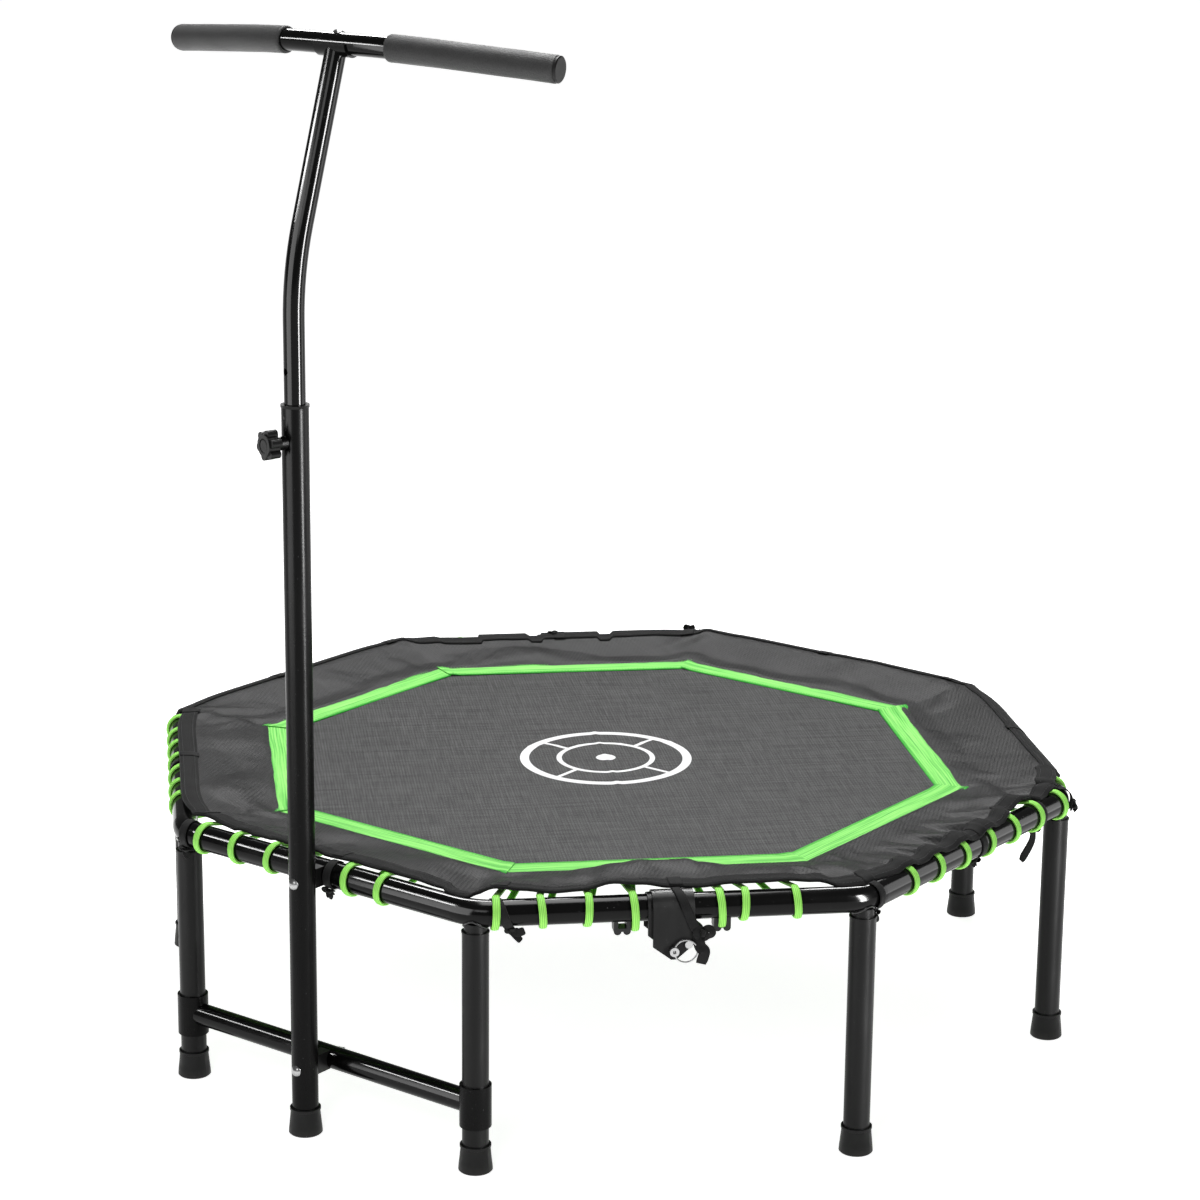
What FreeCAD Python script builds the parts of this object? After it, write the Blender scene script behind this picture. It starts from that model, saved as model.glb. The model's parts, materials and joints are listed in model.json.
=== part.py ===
import FreeCAD, Part
import math
import os
import Sketcher

# Folding octagonal mini trampoline with a height-adjustable handle.
# Frame: +Z up, floor at Z = 0, handle side towards -Y. The octagon's centre stands a little
# towards +Y, so that the whole object's footprint is centred on the origin.
# The fold line runs through the middles of two opposite sides, along (1, -1, 0).

V = FreeCAD.Vector
UP = V(0, 0, 1)
doc = FreeCAD.newDocument("mini_trampoline")

# ------------------------------------------------------------------ driving dimensions

DRIVING = {
    # octagonal frame
    "corner_radius": 603, "centre_y": 31, "axis_height": 322, "tube_radius": 16, "tube_wall": 1.5,
    "corner_bend": 60, "fold_gap": 0.5,
    # legs and feet
    "leg_radius": 599, "leg_top": 298.7, "leg_bottom": 4, "neck_radius": 13.6, "rim_radius": 16.7,
    "rim_height": 1.6, "plug_length": 32, "plug_fit": 0.05, "foot_radius": 20.6, "foot_top_radius": 17.8,
    "foot_height": 34, "foot_lip": 1,
    # crossbar between the two handle-side legs
    "bar_height": 84, "crossbar_radius": 14, "crossbar_wall": 1.3, "sleeve_bottom": 57,
    "sleeve_height": 52, "sleeve_radius": 19.2, "sleeve_bore": 16.05,
    # handle post
    "post_y": -598, "post_top": 895.5, "knob_turn": 74, "knob_height": 855, "bushing_bore": 12.55,
    "bushing_length": 29, "bushing_lip": 3.2, "bolt_radius": 3, "bolt_hole": 3.15, "dome_radius": 7,
    "dome_height": 4.2, "nut_radius": 6, "nut_height": 5, "spacer_width": 16, "spacer_height": 24,
    "latch_drop": 11.5, "latch_radius": 2.5,
    # inner tube, with its holes a fixed pitch apart
    "inner_radius": 12.5, "inner_wall": 1.2, "inner_bottom": 645, "hole_pitch": 82,
    "pin_hole": 4.2, "bend_height": 1050, "neck_bend": 360, "neck_tilt": 17.5, "bar_centre_height": 1301,
    # handlebar, grips and the saddle under the bar
    "bar_half": 288, "bar_straight": 35, "bar_bend": 490, "bar_sweep": 13, "grip_start": 78,
    "grip_radius": 15.8, "saddle_length": 47, "saddle_wall": 2.5, "saddle_angle": 150,
    # height knob
    "knob_radius": 13, "lobe_radius": 5.2, "lobe_circle": 13.2, "knob_back": 28, "knob_thick": 15,
    "stud_radius": 4, "boss_radius": 8, "boss_reach": 27,
    # fold hinges
    "plate": 2.2, "plate_gap": 0.3, "pivot_along": 17.7, "pivot_drop": 40, "pin_drop": 47,
    "rivet_radius": 3, "lock_pin_radius": 3.5, "running": 0.05, "ring_radius": 13.6, "wire_radius": 1,
    # mat, skirt and their fastenings
    "mat_apothem": 445, "mat_level": 325.5, "mat_thick": 1.8, "band_width": 38, "band_thick": 1.4,
    "skirt_apothem": 560, "skirt_rise": 19, "skirt_thick": 1.6, "cord_width": 9, "cord_thick": 4.4,
    "rod_apothem": 463, "rod_level": 318, "rod_radius": 2, "rod_half": 11.5,
    "tape_width": 12, "tape_thick": 1.2, "tape_tail": 45, "keeper_along": 59, "keeper_width": 20,
    "keeper_deep": 18, "keeper_drop": 10, "keeper_lobe": 4.5,
}

sheet = doc.addObject("Spreadsheet::Sheet", "Sizes")
for row, (alias, value) in enumerate(DRIVING.items(), start=1):
    sheet.set("A%d" % row, alias)
    sheet.set("B%d" % row, str(value))
    sheet.setAlias("B%d" % row, alias)
doc.recompute()


def size(alias):
    return float(sheet.get(alias))


def cell(alias):
    return "Sizes." + alias


# ------------------------------------------------------------------ places

SIDES = 8
HALF_SIDE_ANGLE = math.pi / SIDES
AXIS_HEIGHT = size("axis_height")
TUBE = size("tube_radius")
APOTHEM = size("corner_radius") * math.cos(HALF_SIDE_ANGLE)
SIDE_HALF = size("corner_radius") * math.sin(HALF_SIDE_ANGLE)
BIG = 2000.0


def at(x, y, z):
    """A point given from the octagon's centre on the floor."""
    return V(x, y + size("centre_y"), z)


def heading(degrees):
    return V(math.cos(math.radians(degrees)), math.sin(math.radians(degrees)), 0)


def corner(number, radius, z):
    """Corner 1 is the handle side's left one, and they count counter-clockwise."""
    spot = heading(-112.5 + 45 * (number - 1)) * radius
    return at(spot.x, spot.y, z)


def side_facing(number):
    """Side n runs from corner n to corner n + 1 and faces this way."""
    return -90 + 45 * (number - 1)


def side_placement(number, along, z=0.0, apothem=0.0):
    """Local X runs along the side, local Y points inwards, and Z is up."""
    facing = side_facing(number)
    out = heading(facing)
    run = heading(facing + 90)
    spot = out * apothem + run * along
    return FreeCAD.Placement(at(spot.x, spot.y, z), FreeCAD.Rotation(UP, facing + 90))


FOLD_SIDES = {"front": 2, "rear": 6}
LEFT_CORNERS = [1, 2, 7, 8]
RIGHT_CORNERS = [3, 4, 5, 6]
FOLD_ALONG = heading(45)

# ------------------------------------------------------------------ building blocks

nodes = {}


def keep(label, obj):
    """Name an object as a finished sub-part."""
    obj.Label = label
    nodes[label] = obj
    return obj


def turned(base, axis):
    return FreeCAD.Placement(base, FreeCAD.Rotation(UP, axis))


def cylinder(name, radius, height, base, axis=UP):
    """A Part::Cylinder whose radius and height are expressions on the sheet."""
    obj = doc.addObject("Part::Cylinder", name)
    obj.setExpression("Radius", radius)
    obj.setExpression("Height", height)
    obj.Placement = turned(base, axis)
    return obj


def box(name, length, width, height, placement):
    obj = doc.addObject("Part::Box", name)
    obj.setExpression("Length", length)
    obj.setExpression("Width", width)
    obj.setExpression("Height", height)
    obj.Placement = placement
    return obj


def fuse(name, shapes):
    obj = doc.addObject("Part::MultiFuse", name)
    obj.Shapes = shapes
    return obj


def cut(name, base, tools):
    obj = doc.addObject("Part::Cut", name)
    obj.Base = base
    obj.Tool = tools[0] if len(tools) == 1 else fuse(name + "_tools", tools)
    return obj


def common(name, shapes):
    obj = doc.addObject("Part::MultiCommon", name)
    obj.Shapes = shapes
    return obj


def tube(name, outer, inner, height, base, axis=UP):
    """A round tube from three expressions."""
    wall = cylinder(name + "_outside", outer, height, base, axis)
    bore = cylinder(name + "_bore", inner, height, base, axis)
    return cut(name, wall, [bore])


def feature(name, shape):
    obj = doc.addObject("Part::Feature", name)
    obj.Shape = shape
    return obj


def rounded_path(points, radius):
    """Straight runs through the points, joined by tangent arcs."""
    edges = []
    start = points[0]
    for before, here, after in zip(points, points[1:], points[2:]):
        come = (here - before).normalize()
        leave = (after - here).normalize()
        turn = come.getAngle(leave)
        setback = radius * math.tan(turn / 2)
        inside = (leave - come).normalize()
        entry = here - come * setback
        exit_point = here + leave * setback
        centre = here + inside * (radius / math.cos(turn / 2))
        middle = centre - inside * radius
        edges.append(Part.LineSegment(start, entry).toShape())
        edges.append(Part.Arc(entry, middle, exit_point).toShape())
        start = exit_point
    edges.append(Part.LineSegment(start, points[-1]).toShape())
    return Part.Wire(edges)


def sweep(name, spine, radius):
    """A round bar along a path object; its radius is an expression on the sheet."""
    first = spine.Shape.Edges[0]
    circle = doc.addObject("Part::Circle", name + "_section")
    circle.setExpression("Radius", radius)
    circle.Placement = turned(first.valueAt(first.FirstParameter), first.tangentAt(first.FirstParameter))
    bar = doc.addObject("Part::Sweep", name)
    bar.Sections = [circle]
    bar.Spine = (spine, ["Edge%d" % (i + 1) for i in range(len(spine.Shape.Edges))])
    bar.Solid = True
    bar.Frenet = False
    return bar


def extrusion(name, base, forward, reverse="0"):
    """A solid along the sketch's normal, as long as two expressions say."""
    obj = doc.addObject("Part::Extrusion", name)
    obj.Base = base
    obj.DirMode = "Normal"
    obj.setExpression("LengthFwd", forward)
    obj.setExpression("LengthRev", reverse)
    obj.Solid = True
    return obj


def half_space(name, sign):
    """A box over one half of the object, short of the fold line by half the fold gap."""
    start = FOLD_ALONG * (sign * size("fold_gap") / 2)
    turn = 45 if sign > 0 else 225
    across = heading(turn - 90) * (BIG / 2)
    base = at(start.x + across.x, start.y + across.y, 0)
    side = "%g" % BIG
    return box(name, side, side, side, FreeCAD.Placement(base, FreeCAD.Rotation(UP, turn)))


def origin_plane(body, role):
    for plane in body.Origin.OriginFeatures:
        if plane.Role == role:
            return plane
    raise ValueError(role)


def body_sketch(body, role, name):
    flat = body.newObject("Sketcher::SketchObject", name)
    flat.AttachmentSupport = [(origin_plane(body, role), "")]
    flat.MapMode = "FlatFace"
    return flat


def add_loop(flat, points):
    for (x1, y1), (x2, y2) in zip(points, points[1:] + points[:1]):
        flat.addGeometry(Part.LineSegment(V(x1, y1, 0), V(x2, y2, 0)), False)


def revolved(name, profile):
    """A PartDesign body turned about its own Z from (radius, height) points."""
    body = doc.addObject("PartDesign::Body", name)
    flat = body_sketch(body, "XZ_Plane", name + "_profile")
    add_loop(flat, profile)
    turn = body.newObject("PartDesign::Revolution", name + "_turn")
    turn.Profile = flat
    turn.ReferenceAxis = (flat, ["V_Axis"])
    turn.Angle = 360
    body.Tip = turn
    return body


def copies(label, master, placements):
    """A group of separate solids, all copies of one master sub-part."""
    doc.recompute()
    solids = []
    for placement in placements:
        solid = master.Shape.copy()
        solid.Placement = placement.multiply(solid.Placement)
        solids.append(solid)
    return keep(label, feature(label, Part.makeCompound(solids)))


# ------------------------------------------------------------------ octagonal frame, in two halves


def frame_half(side, corners, sign):
    """Half of the octagon's tube, with bent corners, from one fold joint to the other."""
    step = FOLD_ALONG * (sign * size("fold_gap") / 2)
    front = heading(side_facing(FOLD_SIDES["front"])) * APOTHEM + step
    rear = heading(side_facing(FOLD_SIDES["rear"])) * APOTHEM + step
    points = [at(front.x, front.y, AXIS_HEIGHT)]
    points += [corner(n, size("corner_radius"), AXIS_HEIGHT) for n in corners]
    points.append(at(rear.x, rear.y, AXIS_HEIGHT))
    path = feature("frame_path_" + side, rounded_path(points, size("corner_bend")))
    outside = sweep("frame_outside_" + side, path, cell("tube_radius"))
    inside = sweep("frame_inside_" + side, path, cell("tube_radius") + " - " + cell("tube_wall"))
    return outside, inside


LEFT_RUN = [2, 1, 8, 7]
RIGHT_RUN = [3, 4, 5, 6]
left_outside, left_inside = frame_half("left", LEFT_RUN, -1)
right_outside, right_inside = frame_half("right", RIGHT_RUN, 1)

POST_Y = size("post_y")
BAR_Y = -size("leg_radius") * math.cos(HALF_SIDE_ANGLE)
BAR_Z = size("bar_height")
LEG_X = size("leg_radius") * math.sin(HALF_SIDE_ANGLE)


def through_hole(name, z):
    """The drilling for a bolt along Y through the post and the tube behind it."""
    return cylinder(name, cell("bolt_hole"), "120", at(0, POST_Y - 30, z), V(0, 1, 0))


frame_bolt_way = through_hole("frame_bolt_way", AXIS_HEIGHT)
keep("frame_tube_left", cut("frame_left", left_outside, [left_inside, frame_bolt_way]))
keep("frame_tube_right", cut("frame_right", right_outside, [right_inside]))

# ------------------------------------------------------------------ legs, studs and feet


NECK_REACH = "12"


def stud(number):
    """The welded neck under a frame corner, its rim and the plug inside the leg."""
    top = size("leg_top")
    plug_base = corner(number, size("leg_radius"), top - size("plug_length"))
    seat = corner(number, size("leg_radius"), top)
    plug_radius = " - ".join([cell("tube_radius"), cell("tube_wall"), cell("plug_fit")])
    plug = cylinder("stud_plug_%d" % number, plug_radius, cell("plug_length"), plug_base)
    rim = cylinder("stud_rim_%d" % number, cell("rim_radius"), cell("rim_height"), seat)
    neck = cylinder("stud_neck_%d" % number, cell("neck_radius"), NECK_REACH, seat)
    return fuse("stud_%d" % number, [plug, rim, neck])


def studs(label, corners, frame_outside):
    group = doc.addObject("Part::Compound", label + "_whole")
    group.Links = [stud(number) for number in corners]
    keep(label, cut(label, group, [frame_outside]))


studs("leg_studs_left", LEFT_CORNERS, left_outside)
studs("leg_studs_right", RIGHT_CORNERS, right_outside)

TUBE_INSIDE = cell("tube_radius") + " - " + cell("tube_wall")
LEG_LENGTH = cell("leg_top") + " - " + cell("leg_bottom")
for number in range(1, SIDES + 1):
    name = "leg_%d" % number
    base = corner(number, size("leg_radius"), size("leg_bottom"))
    keep(name, tube(name, cell("tube_radius"), TUBE_INSIDE, LEG_LENGTH, base))

FOOT = size("foot_radius")
FOOT_WAIST = size("foot_top_radius")
FOOT_RIM = FOOT_WAIST + size("foot_lip")
FOOT_TOP = size("foot_height")
FOOT_SOLE = size("leg_bottom")
FOOT_PROFILE = [
    (0, 0), (FOOT - 1.5, 0), (FOOT, 1.5), (FOOT - 0.4, 7), (FOOT_WAIST, FOOT_TOP - 4),
    (FOOT_RIM, FOOT_TOP - 3.4), (FOOT_RIM, FOOT_TOP - 0.6), (FOOT_WAIST + 0.4, FOOT_TOP),
    (TUBE, FOOT_TOP), (TUBE, FOOT_SOLE), (0, FOOT_SOLE),
]
foot = revolved("foot", FOOT_PROFILE)


def upright(point):
    return FreeCAD.Placement(point, FreeCAD.Rotation())


for side, corners in (("left", LEFT_CORNERS), ("right", RIGHT_CORNERS)):
    copies("feet_" + side, foot, [upright(corner(number, size("leg_radius"), 0)) for number in corners])
copies("handle_post_foot", foot, [upright(at(0, POST_Y, 0))])

# ------------------------------------------------------------------ crossbar

sleeve_outsides = []
for name, x in (("left", -LEG_X), ("right", LEG_X)):
    base = at(x, BAR_Y, size("sleeve_bottom"))
    sleeve = tube("sleeve_" + name, cell("sleeve_radius"), cell("sleeve_bore"), cell("sleeve_height"), base)
    keep("crossbar_sleeve_" + name, sleeve)
    envelope = cylinder("sleeve_envelope_" + name, cell("sleeve_radius"), cell("sleeve_height"), base)
    sleeve_outsides.append(envelope)
CROSSBAR_START = at(-LEG_X, BAR_Y, BAR_Z)
CROSSBAR_LENGTH = "%g" % (2 * LEG_X)
CROSSBAR_INSIDE = cell("crossbar_radius") + " - " + cell("crossbar_wall")
ALONG_X = V(1, 0, 0)
crossbar_wall = cylinder("crossbar_wall", cell("crossbar_radius"), CROSSBAR_LENGTH, CROSSBAR_START, ALONG_X)
crossbar_bore = cylinder("crossbar_bore", CROSSBAR_INSIDE, CROSSBAR_LENGTH, CROSSBAR_START, ALONG_X)
crossbar_cuts = [crossbar_bore] + sleeve_outsides + [through_hole("crossbar_bolt_way", BAR_Z)]
keep("crossbar", cut("crossbar", crossbar_wall, crossbar_cuts))

# ------------------------------------------------------------------ handle post

KNOB_WAY = heading(180 + size("knob_turn"))
KNOB_Z = size("knob_height")
STUD_BORE = cell("stud_radius") + " + " + cell("running")
LATCH_Z = size("post_top") - size("latch_drop")


def knob_way(name, radius, z, start, length):
    """A drilling or rod square to the post, in the knob's direction."""
    return cylinder(name, radius, length, at(0, POST_Y, z) + KNOB_WAY * start, KNOB_WAY)


post_outside = cylinder("post_outside", cell("tube_radius"), cell("post_top") + " - " + cell("leg_bottom"),
                        at(0, POST_Y, size("leg_bottom")))
post_bore = cylinder("post_bore", TUBE_INSIDE, cell("post_top"), at(0, POST_Y, size("leg_bottom")))
keep("handle_post", cut("post", post_outside, [
    post_bore, through_hole("post_upper_way", AXIS_HEIGHT), through_hole("post_lower_way", BAR_Z),
    knob_way("post_stud_way", STUD_BORE, KNOB_Z, 5, "20"),
    knob_way("post_latch_way", cell("latch_radius") + " + 0.1", LATCH_Z, 5, "20")]))

boss_rod = knob_way("boss_rod", cell("boss_radius"), KNOB_Z, 5, cell("boss_reach") + " - 5")
keep("knob_boss", cut("boss", boss_rod, [post_outside, knob_way("boss_bore", STUD_BORE, KNOB_Z, 0, "60")]))

bushing_base = at(0, POST_Y, size("post_top") - size("bushing_length"))
bushing_wall = cylinder("bushing_wall", TUBE_INSIDE, cell("bushing_length"), bushing_base)
bushing_seat = at(0, POST_Y, size("post_top"))
bushing_rim = cylinder("bushing_rim", cell("tube_radius") + " + 0.8", cell("bushing_lip"), bushing_seat)
bushing_latch = knob_way("bushing_latch", cell("latch_radius"), LATCH_Z, 13, "2.6")
bushing_hole = cylinder("bushing_hole", cell("bushing_bore"), "60", bushing_base)
bushing_whole = fuse("bushing_whole", [bushing_wall, bushing_rim, bushing_latch])
keep("post_bushing", cut("bushing", bushing_whole, [bushing_hole]))


def spacer(label, z, tube_y, behind, way):
    """A moulded saddle that fills the space between the post and the tube behind it."""
    start = at(-size("spacer_width") / 2, POST_Y, z - size("spacer_height") / 2)
    length = "%g" % (tube_y - POST_Y)
    block = box(label + "_block", cell("spacer_width"), length, cell("spacer_height"),
                FreeCAD.Placement(start, FreeCAD.Rotation()))
    keep(label, cut(label, block, [post_outside, behind, through_hole(way, z)]))


spacer("frame_spacer", AXIS_HEIGHT, -APOTHEM, left_outside, "frame_spacer_way")
spacer("crossbar_spacer", BAR_Z, BAR_Y, crossbar_wall, "crossbar_spacer_way")


def dome(name, base, axis):
    """A shallow domed bolt head: the slice of a sphere above its flat."""
    head_radius = size("dome_radius")
    head_height = size("dome_height")
    ball_radius = (head_radius ** 2 + head_height ** 2) / (2 * head_height)
    ball = doc.addObject("Part::Sphere", name + "_ball")
    ball.Radius = ball_radius
    ball.Placement = turned(base - axis * (ball_radius - head_height), axis)
    stock = cylinder(name + "_stock", cell("dome_radius"), "12", base, axis)
    return common(name, [ball, stock])


def hexagon(name, radius, height, base, axis):
    """A hexagonal nut's prism, before its hole."""
    ring = doc.addObject("Part::RegularPolygon", name + "_ring")
    ring.Polygon = 6
    ring.setExpression("Circumradius", radius)
    ring.Placement = turned(base, axis)
    return extrusion(name, ring, height)


def handle_bolt(name, z, end_y, tube_behind):
    """A domed bolt through the post, its spacer and the tube behind, with its nut."""
    front = POST_Y - TUBE
    length = "%g" % (end_y + 12 - front)
    shank = cylinder(name + "_shank", cell("bolt_radius"), length, at(0, front, z), V(0, 1, 0))
    seat = cylinder(name + "_seat", cell("dome_radius"), "3", at(0, front, z), V(0, 1, 0))
    head_skirt = cut(name + "_skirt", seat, [post_outside])
    bolt = fuse(name, [shank, head_skirt, dome(name + "_dome", at(0, front, z), V(0, -1, 0))])
    nut_stock = hexagon(name + "_nut", cell("nut_radius"), "9", at(0, end_y - 2.5, z), V(0, 1, 0))
    nut_way = cylinder(name + "_nut_way", cell("bolt_radius"), "60", at(0, end_y - 30, z), V(0, 1, 0))
    nut = cut(name + "_nut_drilled", nut_stock, [tube_behind, nut_way])
    return bolt, nut


frame_bolt, frame_nut = handle_bolt("frame_bolt", AXIS_HEIGHT, -APOTHEM + TUBE, left_outside)
bar_bolt, bar_nut = handle_bolt("crossbar_bolt", BAR_Z, BAR_Y + size("crossbar_radius"), crossbar_wall)
for label, pair in (("post_bolts", [frame_bolt, bar_bolt]), ("post_nuts", [frame_nut, bar_nut])):
    group = doc.addObject("Part::Compound", label)
    group.Links = pair
    keep(label, group)

# ------------------------------------------------------------------ inner tube and handlebar

TILT = math.radians(size("neck_tilt"))
NECK = V(0, math.sin(TILT), math.cos(TILT))
LEAN = V(0, math.cos(TILT), -math.sin(TILT))
BEND_POINT = at(0, POST_Y, size("bend_height"))
BAR_CENTRE = BEND_POINT + NECK * ((size("bar_centre_height") - size("bend_height")) / math.cos(TILT))
BAR_RADIUS = size("inner_radius")

inner_path = feature("inner_path", rounded_path(
    [at(0, POST_Y, size("inner_bottom")), BEND_POINT, BAR_CENTRE], size("neck_bend")))
inner_outside = sweep("inner_outside", inner_path, cell("inner_radius"))
inner_inside = sweep("inner_inside", inner_path, cell("inner_radius") + " - " + cell("inner_wall"))
height_holes = [knob_way("height_hole_%d" % (step + 2), cell("pin_hole"),
                         KNOB_Z + step * size("hole_pitch"), 0, "20")
                for step in (-1, 0, 1)]
saddle_start = BAR_CENTRE - V(size("saddle_length") / 2, 0, 0)
saddle_envelope = cylinder("saddle_envelope", cell("inner_radius") + " + " + cell("saddle_wall"),
                           cell("saddle_length"), saddle_start, V(1, 0, 0))
keep("inner_tube", cut("inner", inner_outside, [inner_inside] + height_holes + [saddle_envelope]))

guide_base = at(0, POST_Y, size("inner_bottom") - 4)
guide_stock = cylinder("guide_stock", TUBE_INSIDE + " - 0.1", "26", guide_base)
keep("inner_tube_guide", cut("guide", guide_stock, [
    cylinder("guide_bore", cell("inner_radius"), "40", at(0, POST_Y, size("inner_bottom")))]))


def bar_half(sign, first, last):
    """One side of the handlebar's centreline, from `first` to `last` along it."""
    straight = size("bar_straight")
    radius = size("bar_bend")
    sweep_angle = math.radians(size("bar_sweep"))
    arc_end = straight + radius * sweep_angle

    def spot(along):
        if along <= straight:
            return BAR_CENTRE + V(sign * along, 0, 0)
        angle = min(along - straight, radius * sweep_angle) / radius
        rest = max(along - arc_end, 0)
        across = straight + radius * math.sin(angle) + rest * math.cos(angle)
        reach = radius * (1 - math.cos(angle)) + rest * math.sin(angle)
        return BAR_CENTRE + V(sign * across, 0, 0) + LEAN * reach

    edges = []
    if first < straight:
        edges.append(Part.LineSegment(spot(first), spot(straight)).toShape())
        first = straight
    edges.append(Part.Arc(spot(first), spot((first + arc_end) / 2), spot(arc_end)).toShape())
    edges.append(Part.LineSegment(spot(arc_end), spot(last)).toShape())
    return edges


def reversed_run(edges):
    """The same edges as a path that starts at their far end."""
    run = []
    for edge in reversed(edges):
        a, b = edge.Vertexes[0].Point, edge.Vertexes[-1].Point
        if edge.Curve.TypeId == "Part::GeomLine":
            run.append(Part.LineSegment(b, a).toShape())
        else:
            middle = edge.valueAt((edge.FirstParameter + edge.LastParameter) / 2)
            run.append(Part.Arc(b, middle, a).toShape())
    return run


bar_left = reversed_run(bar_half(-1, 0, size("bar_half")))
bar_path = feature("bar_path", Part.Wire(bar_left + bar_half(1, 0, size("bar_half"))))
bar_outside = sweep("bar_outside", bar_path, cell("inner_radius"))
bar_inside = sweep("bar_inside", bar_path, cell("inner_radius") + " - " + cell("inner_wall"))
bolt_way = cylinder("bar_bolt_way", cell("bolt_hole"), "80", BAR_CENTRE - NECK * 40, NECK)
keep("handlebar", cut("handlebar", bar_outside, [bar_inside, bolt_way]))

saddle_wall = tube("saddle_wall", cell("inner_radius") + " + " + cell("saddle_wall"), cell("inner_radius"),
                   cell("saddle_length"), saddle_start, V(1, 0, 0))
saddle_depth = BAR_RADIUS * math.cos(math.radians(size("saddle_angle") / 2))
saddle_keep = box("saddle_keep", cell("saddle_length"), "60", "60", FreeCAD.Placement(
    saddle_start - LEAN * 30 - NECK * (60 + saddle_depth), FreeCAD.Rotation(V(1, 0, 0), LEAN, NECK, "XYZ")))
keep("bar_saddle", cut("bar_saddle", common("saddle_shell", [saddle_wall, saddle_keep]), [bolt_way]))

BEHIND_BAR = 38
BAR_BOLT = "%g" % (BAR_RADIUS + BEHIND_BAR)
bar_shank = cylinder("bar_shank", cell("bolt_radius"), BAR_BOLT, BAR_CENTRE - NECK * BEHIND_BAR, NECK)
bar_head_stock = cylinder("bar_head_stock", cell("dome_radius"), "%g" % BAR_RADIUS, BAR_CENTRE, NECK)
bar_head_skirt = cut("bar_head_skirt", bar_head_stock, [bar_outside])
bar_dome = dome("bar_dome", BAR_CENTRE + NECK * BAR_RADIUS, NECK)
keep("handlebar_bolt", fuse("handlebar_bolt", [bar_shank, bar_head_skirt, bar_dome]))
weld_nut = hexagon("weld_nut", cell("nut_radius"), cell("nut_height"), BAR_CENTRE - NECK * 24, NECK)
INNER_BORE = cell("inner_radius") + " - " + cell("inner_wall")
weld_collar = cylinder("weld_collar", INNER_BORE, "3", BAR_CENTRE - NECK * 19, NECK)
keep("handlebar_nut", cut("handlebar_nut", fuse("weld_nut_whole", [weld_nut, weld_collar]), [
    cylinder("weld_nut_way", cell("bolt_radius"), "60", BAR_CENTRE - NECK * 45, NECK), saddle_envelope]))

for name, sign in (("left", -1), ("right", 1)):
    grip_wire = Part.Wire(bar_half(sign, size("grip_start"), size("bar_half")))
    grip_path = feature("grip_path_" + name, grip_wire)
    grip_outside = sweep("grip_outside_" + name, grip_path, cell("grip_radius"))
    grip_bore = sweep("grip_bore_" + name, grip_path, cell("inner_radius"))
    keep("grip_" + name, cut("grip_" + name, grip_outside, [grip_bore]))

PLUG = BAR_RADIUS - size("inner_wall")
PLUG_DISC = size("grip_radius") - 0.6
PLUG_PROFILE = [(0, -14), (PLUG, -14), (PLUG, 0), (PLUG_DISC, 0), (PLUG_DISC, 1.8),
                (PLUG_DISC - 1.4, 3), (0, 3)]
end_plug = revolved("end_plug", PLUG_PROFILE)
plug_places = []
for sign in (-1, 1):
    last = bar_half(sign, 0, size("bar_half"))[-1]
    plug_places.append(turned(last.valueAt(last.LastParameter), last.tangentAt(last.LastParameter)))
copies("bar_end_plugs", end_plug, plug_places)

# ------------------------------------------------------------------ height knob

LOBES = 6
CAP_RECESS = 1.5
CAP = 8.3


def knob_body():
    """A lobed hand knob turned about local Z, with its back face on Z = 0."""
    body = doc.addObject("PartDesign::Body", "height_knob")
    disc_sketch = body_sketch(body, "XY_Plane", "knob_disc_outline")
    disc_sketch.addGeometry(Part.Circle(V(0, 0, 0), UP, size("knob_radius")), False)
    disc_sketch.addConstraint(Sketcher.Constraint("Radius", 0, size("knob_radius")))
    disc_sketch.setExpression("Constraints[0]", cell("knob_radius"))
    disc = body.newObject("PartDesign::Pad", "knob_disc")
    disc.Profile = disc_sketch
    disc.setExpression("Length", cell("knob_thick"))
    lobe_sketch = body_sketch(body, "XY_Plane", "knob_lobe_outline")
    lobe_sketch.addGeometry(Part.Circle(V(size("lobe_circle"), 0, 0), UP, size("lobe_radius")), False)
    lobe_sketch.addConstraint(Sketcher.Constraint("Radius", 0, size("lobe_radius")))
    lobe_sketch.setExpression("Constraints[0]", cell("lobe_radius"))
    lobe = body.newObject("PartDesign::Pad", "knob_lobe")
    lobe.Profile = lobe_sketch
    lobe.setExpression("Length", cell("knob_thick") + " - 2")
    doc.recompute()
    pattern = body.newObject("PartDesign::PolarPattern", "knob_lobes")
    pattern.Originals = [lobe]
    pattern.Axis = (lobe_sketch, ["N_Axis"])
    pattern.Angle = 360
    pattern.Occurrences = LOBES
    body.Tip = pattern
    doc.recompute()
    recess_sketch = body_sketch(body, "XY_Plane", "knob_recess_outline")
    recess_level = size("knob_thick") - CAP_RECESS
    recess_sketch.AttachmentOffset = FreeCAD.Placement(V(0, 0, recess_level), FreeCAD.Rotation())
    recess_sketch.addGeometry(Part.Circle(V(0, 0, 0), UP, CAP + 0.2), False)
    recess = body.newObject("PartDesign::Pocket", "knob_recess")
    recess.Profile = recess_sketch
    recess.Type = "ThroughAll"
    recess.Reversed = True
    bore_sketch = body_sketch(body, "XY_Plane", "knob_bore_outline")
    bore_sketch.addGeometry(Part.Circle(V(0, 0, 0), UP, size("stud_radius")), False)
    bore_sketch.addConstraint(Sketcher.Constraint("Radius", 0, size("stud_radius")))
    bore_sketch.setExpression("Constraints[0]", cell("stud_radius"))
    bore = body.newObject("PartDesign::Pocket", "knob_bore")
    bore.Profile = bore_sketch
    bore.Length = 10
    bore.Reversed = True
    body.Tip = bore
    body.Placement = turned(at(0, POST_Y, KNOB_Z) + KNOB_WAY * size("knob_back"), KNOB_WAY)
    return body


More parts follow.
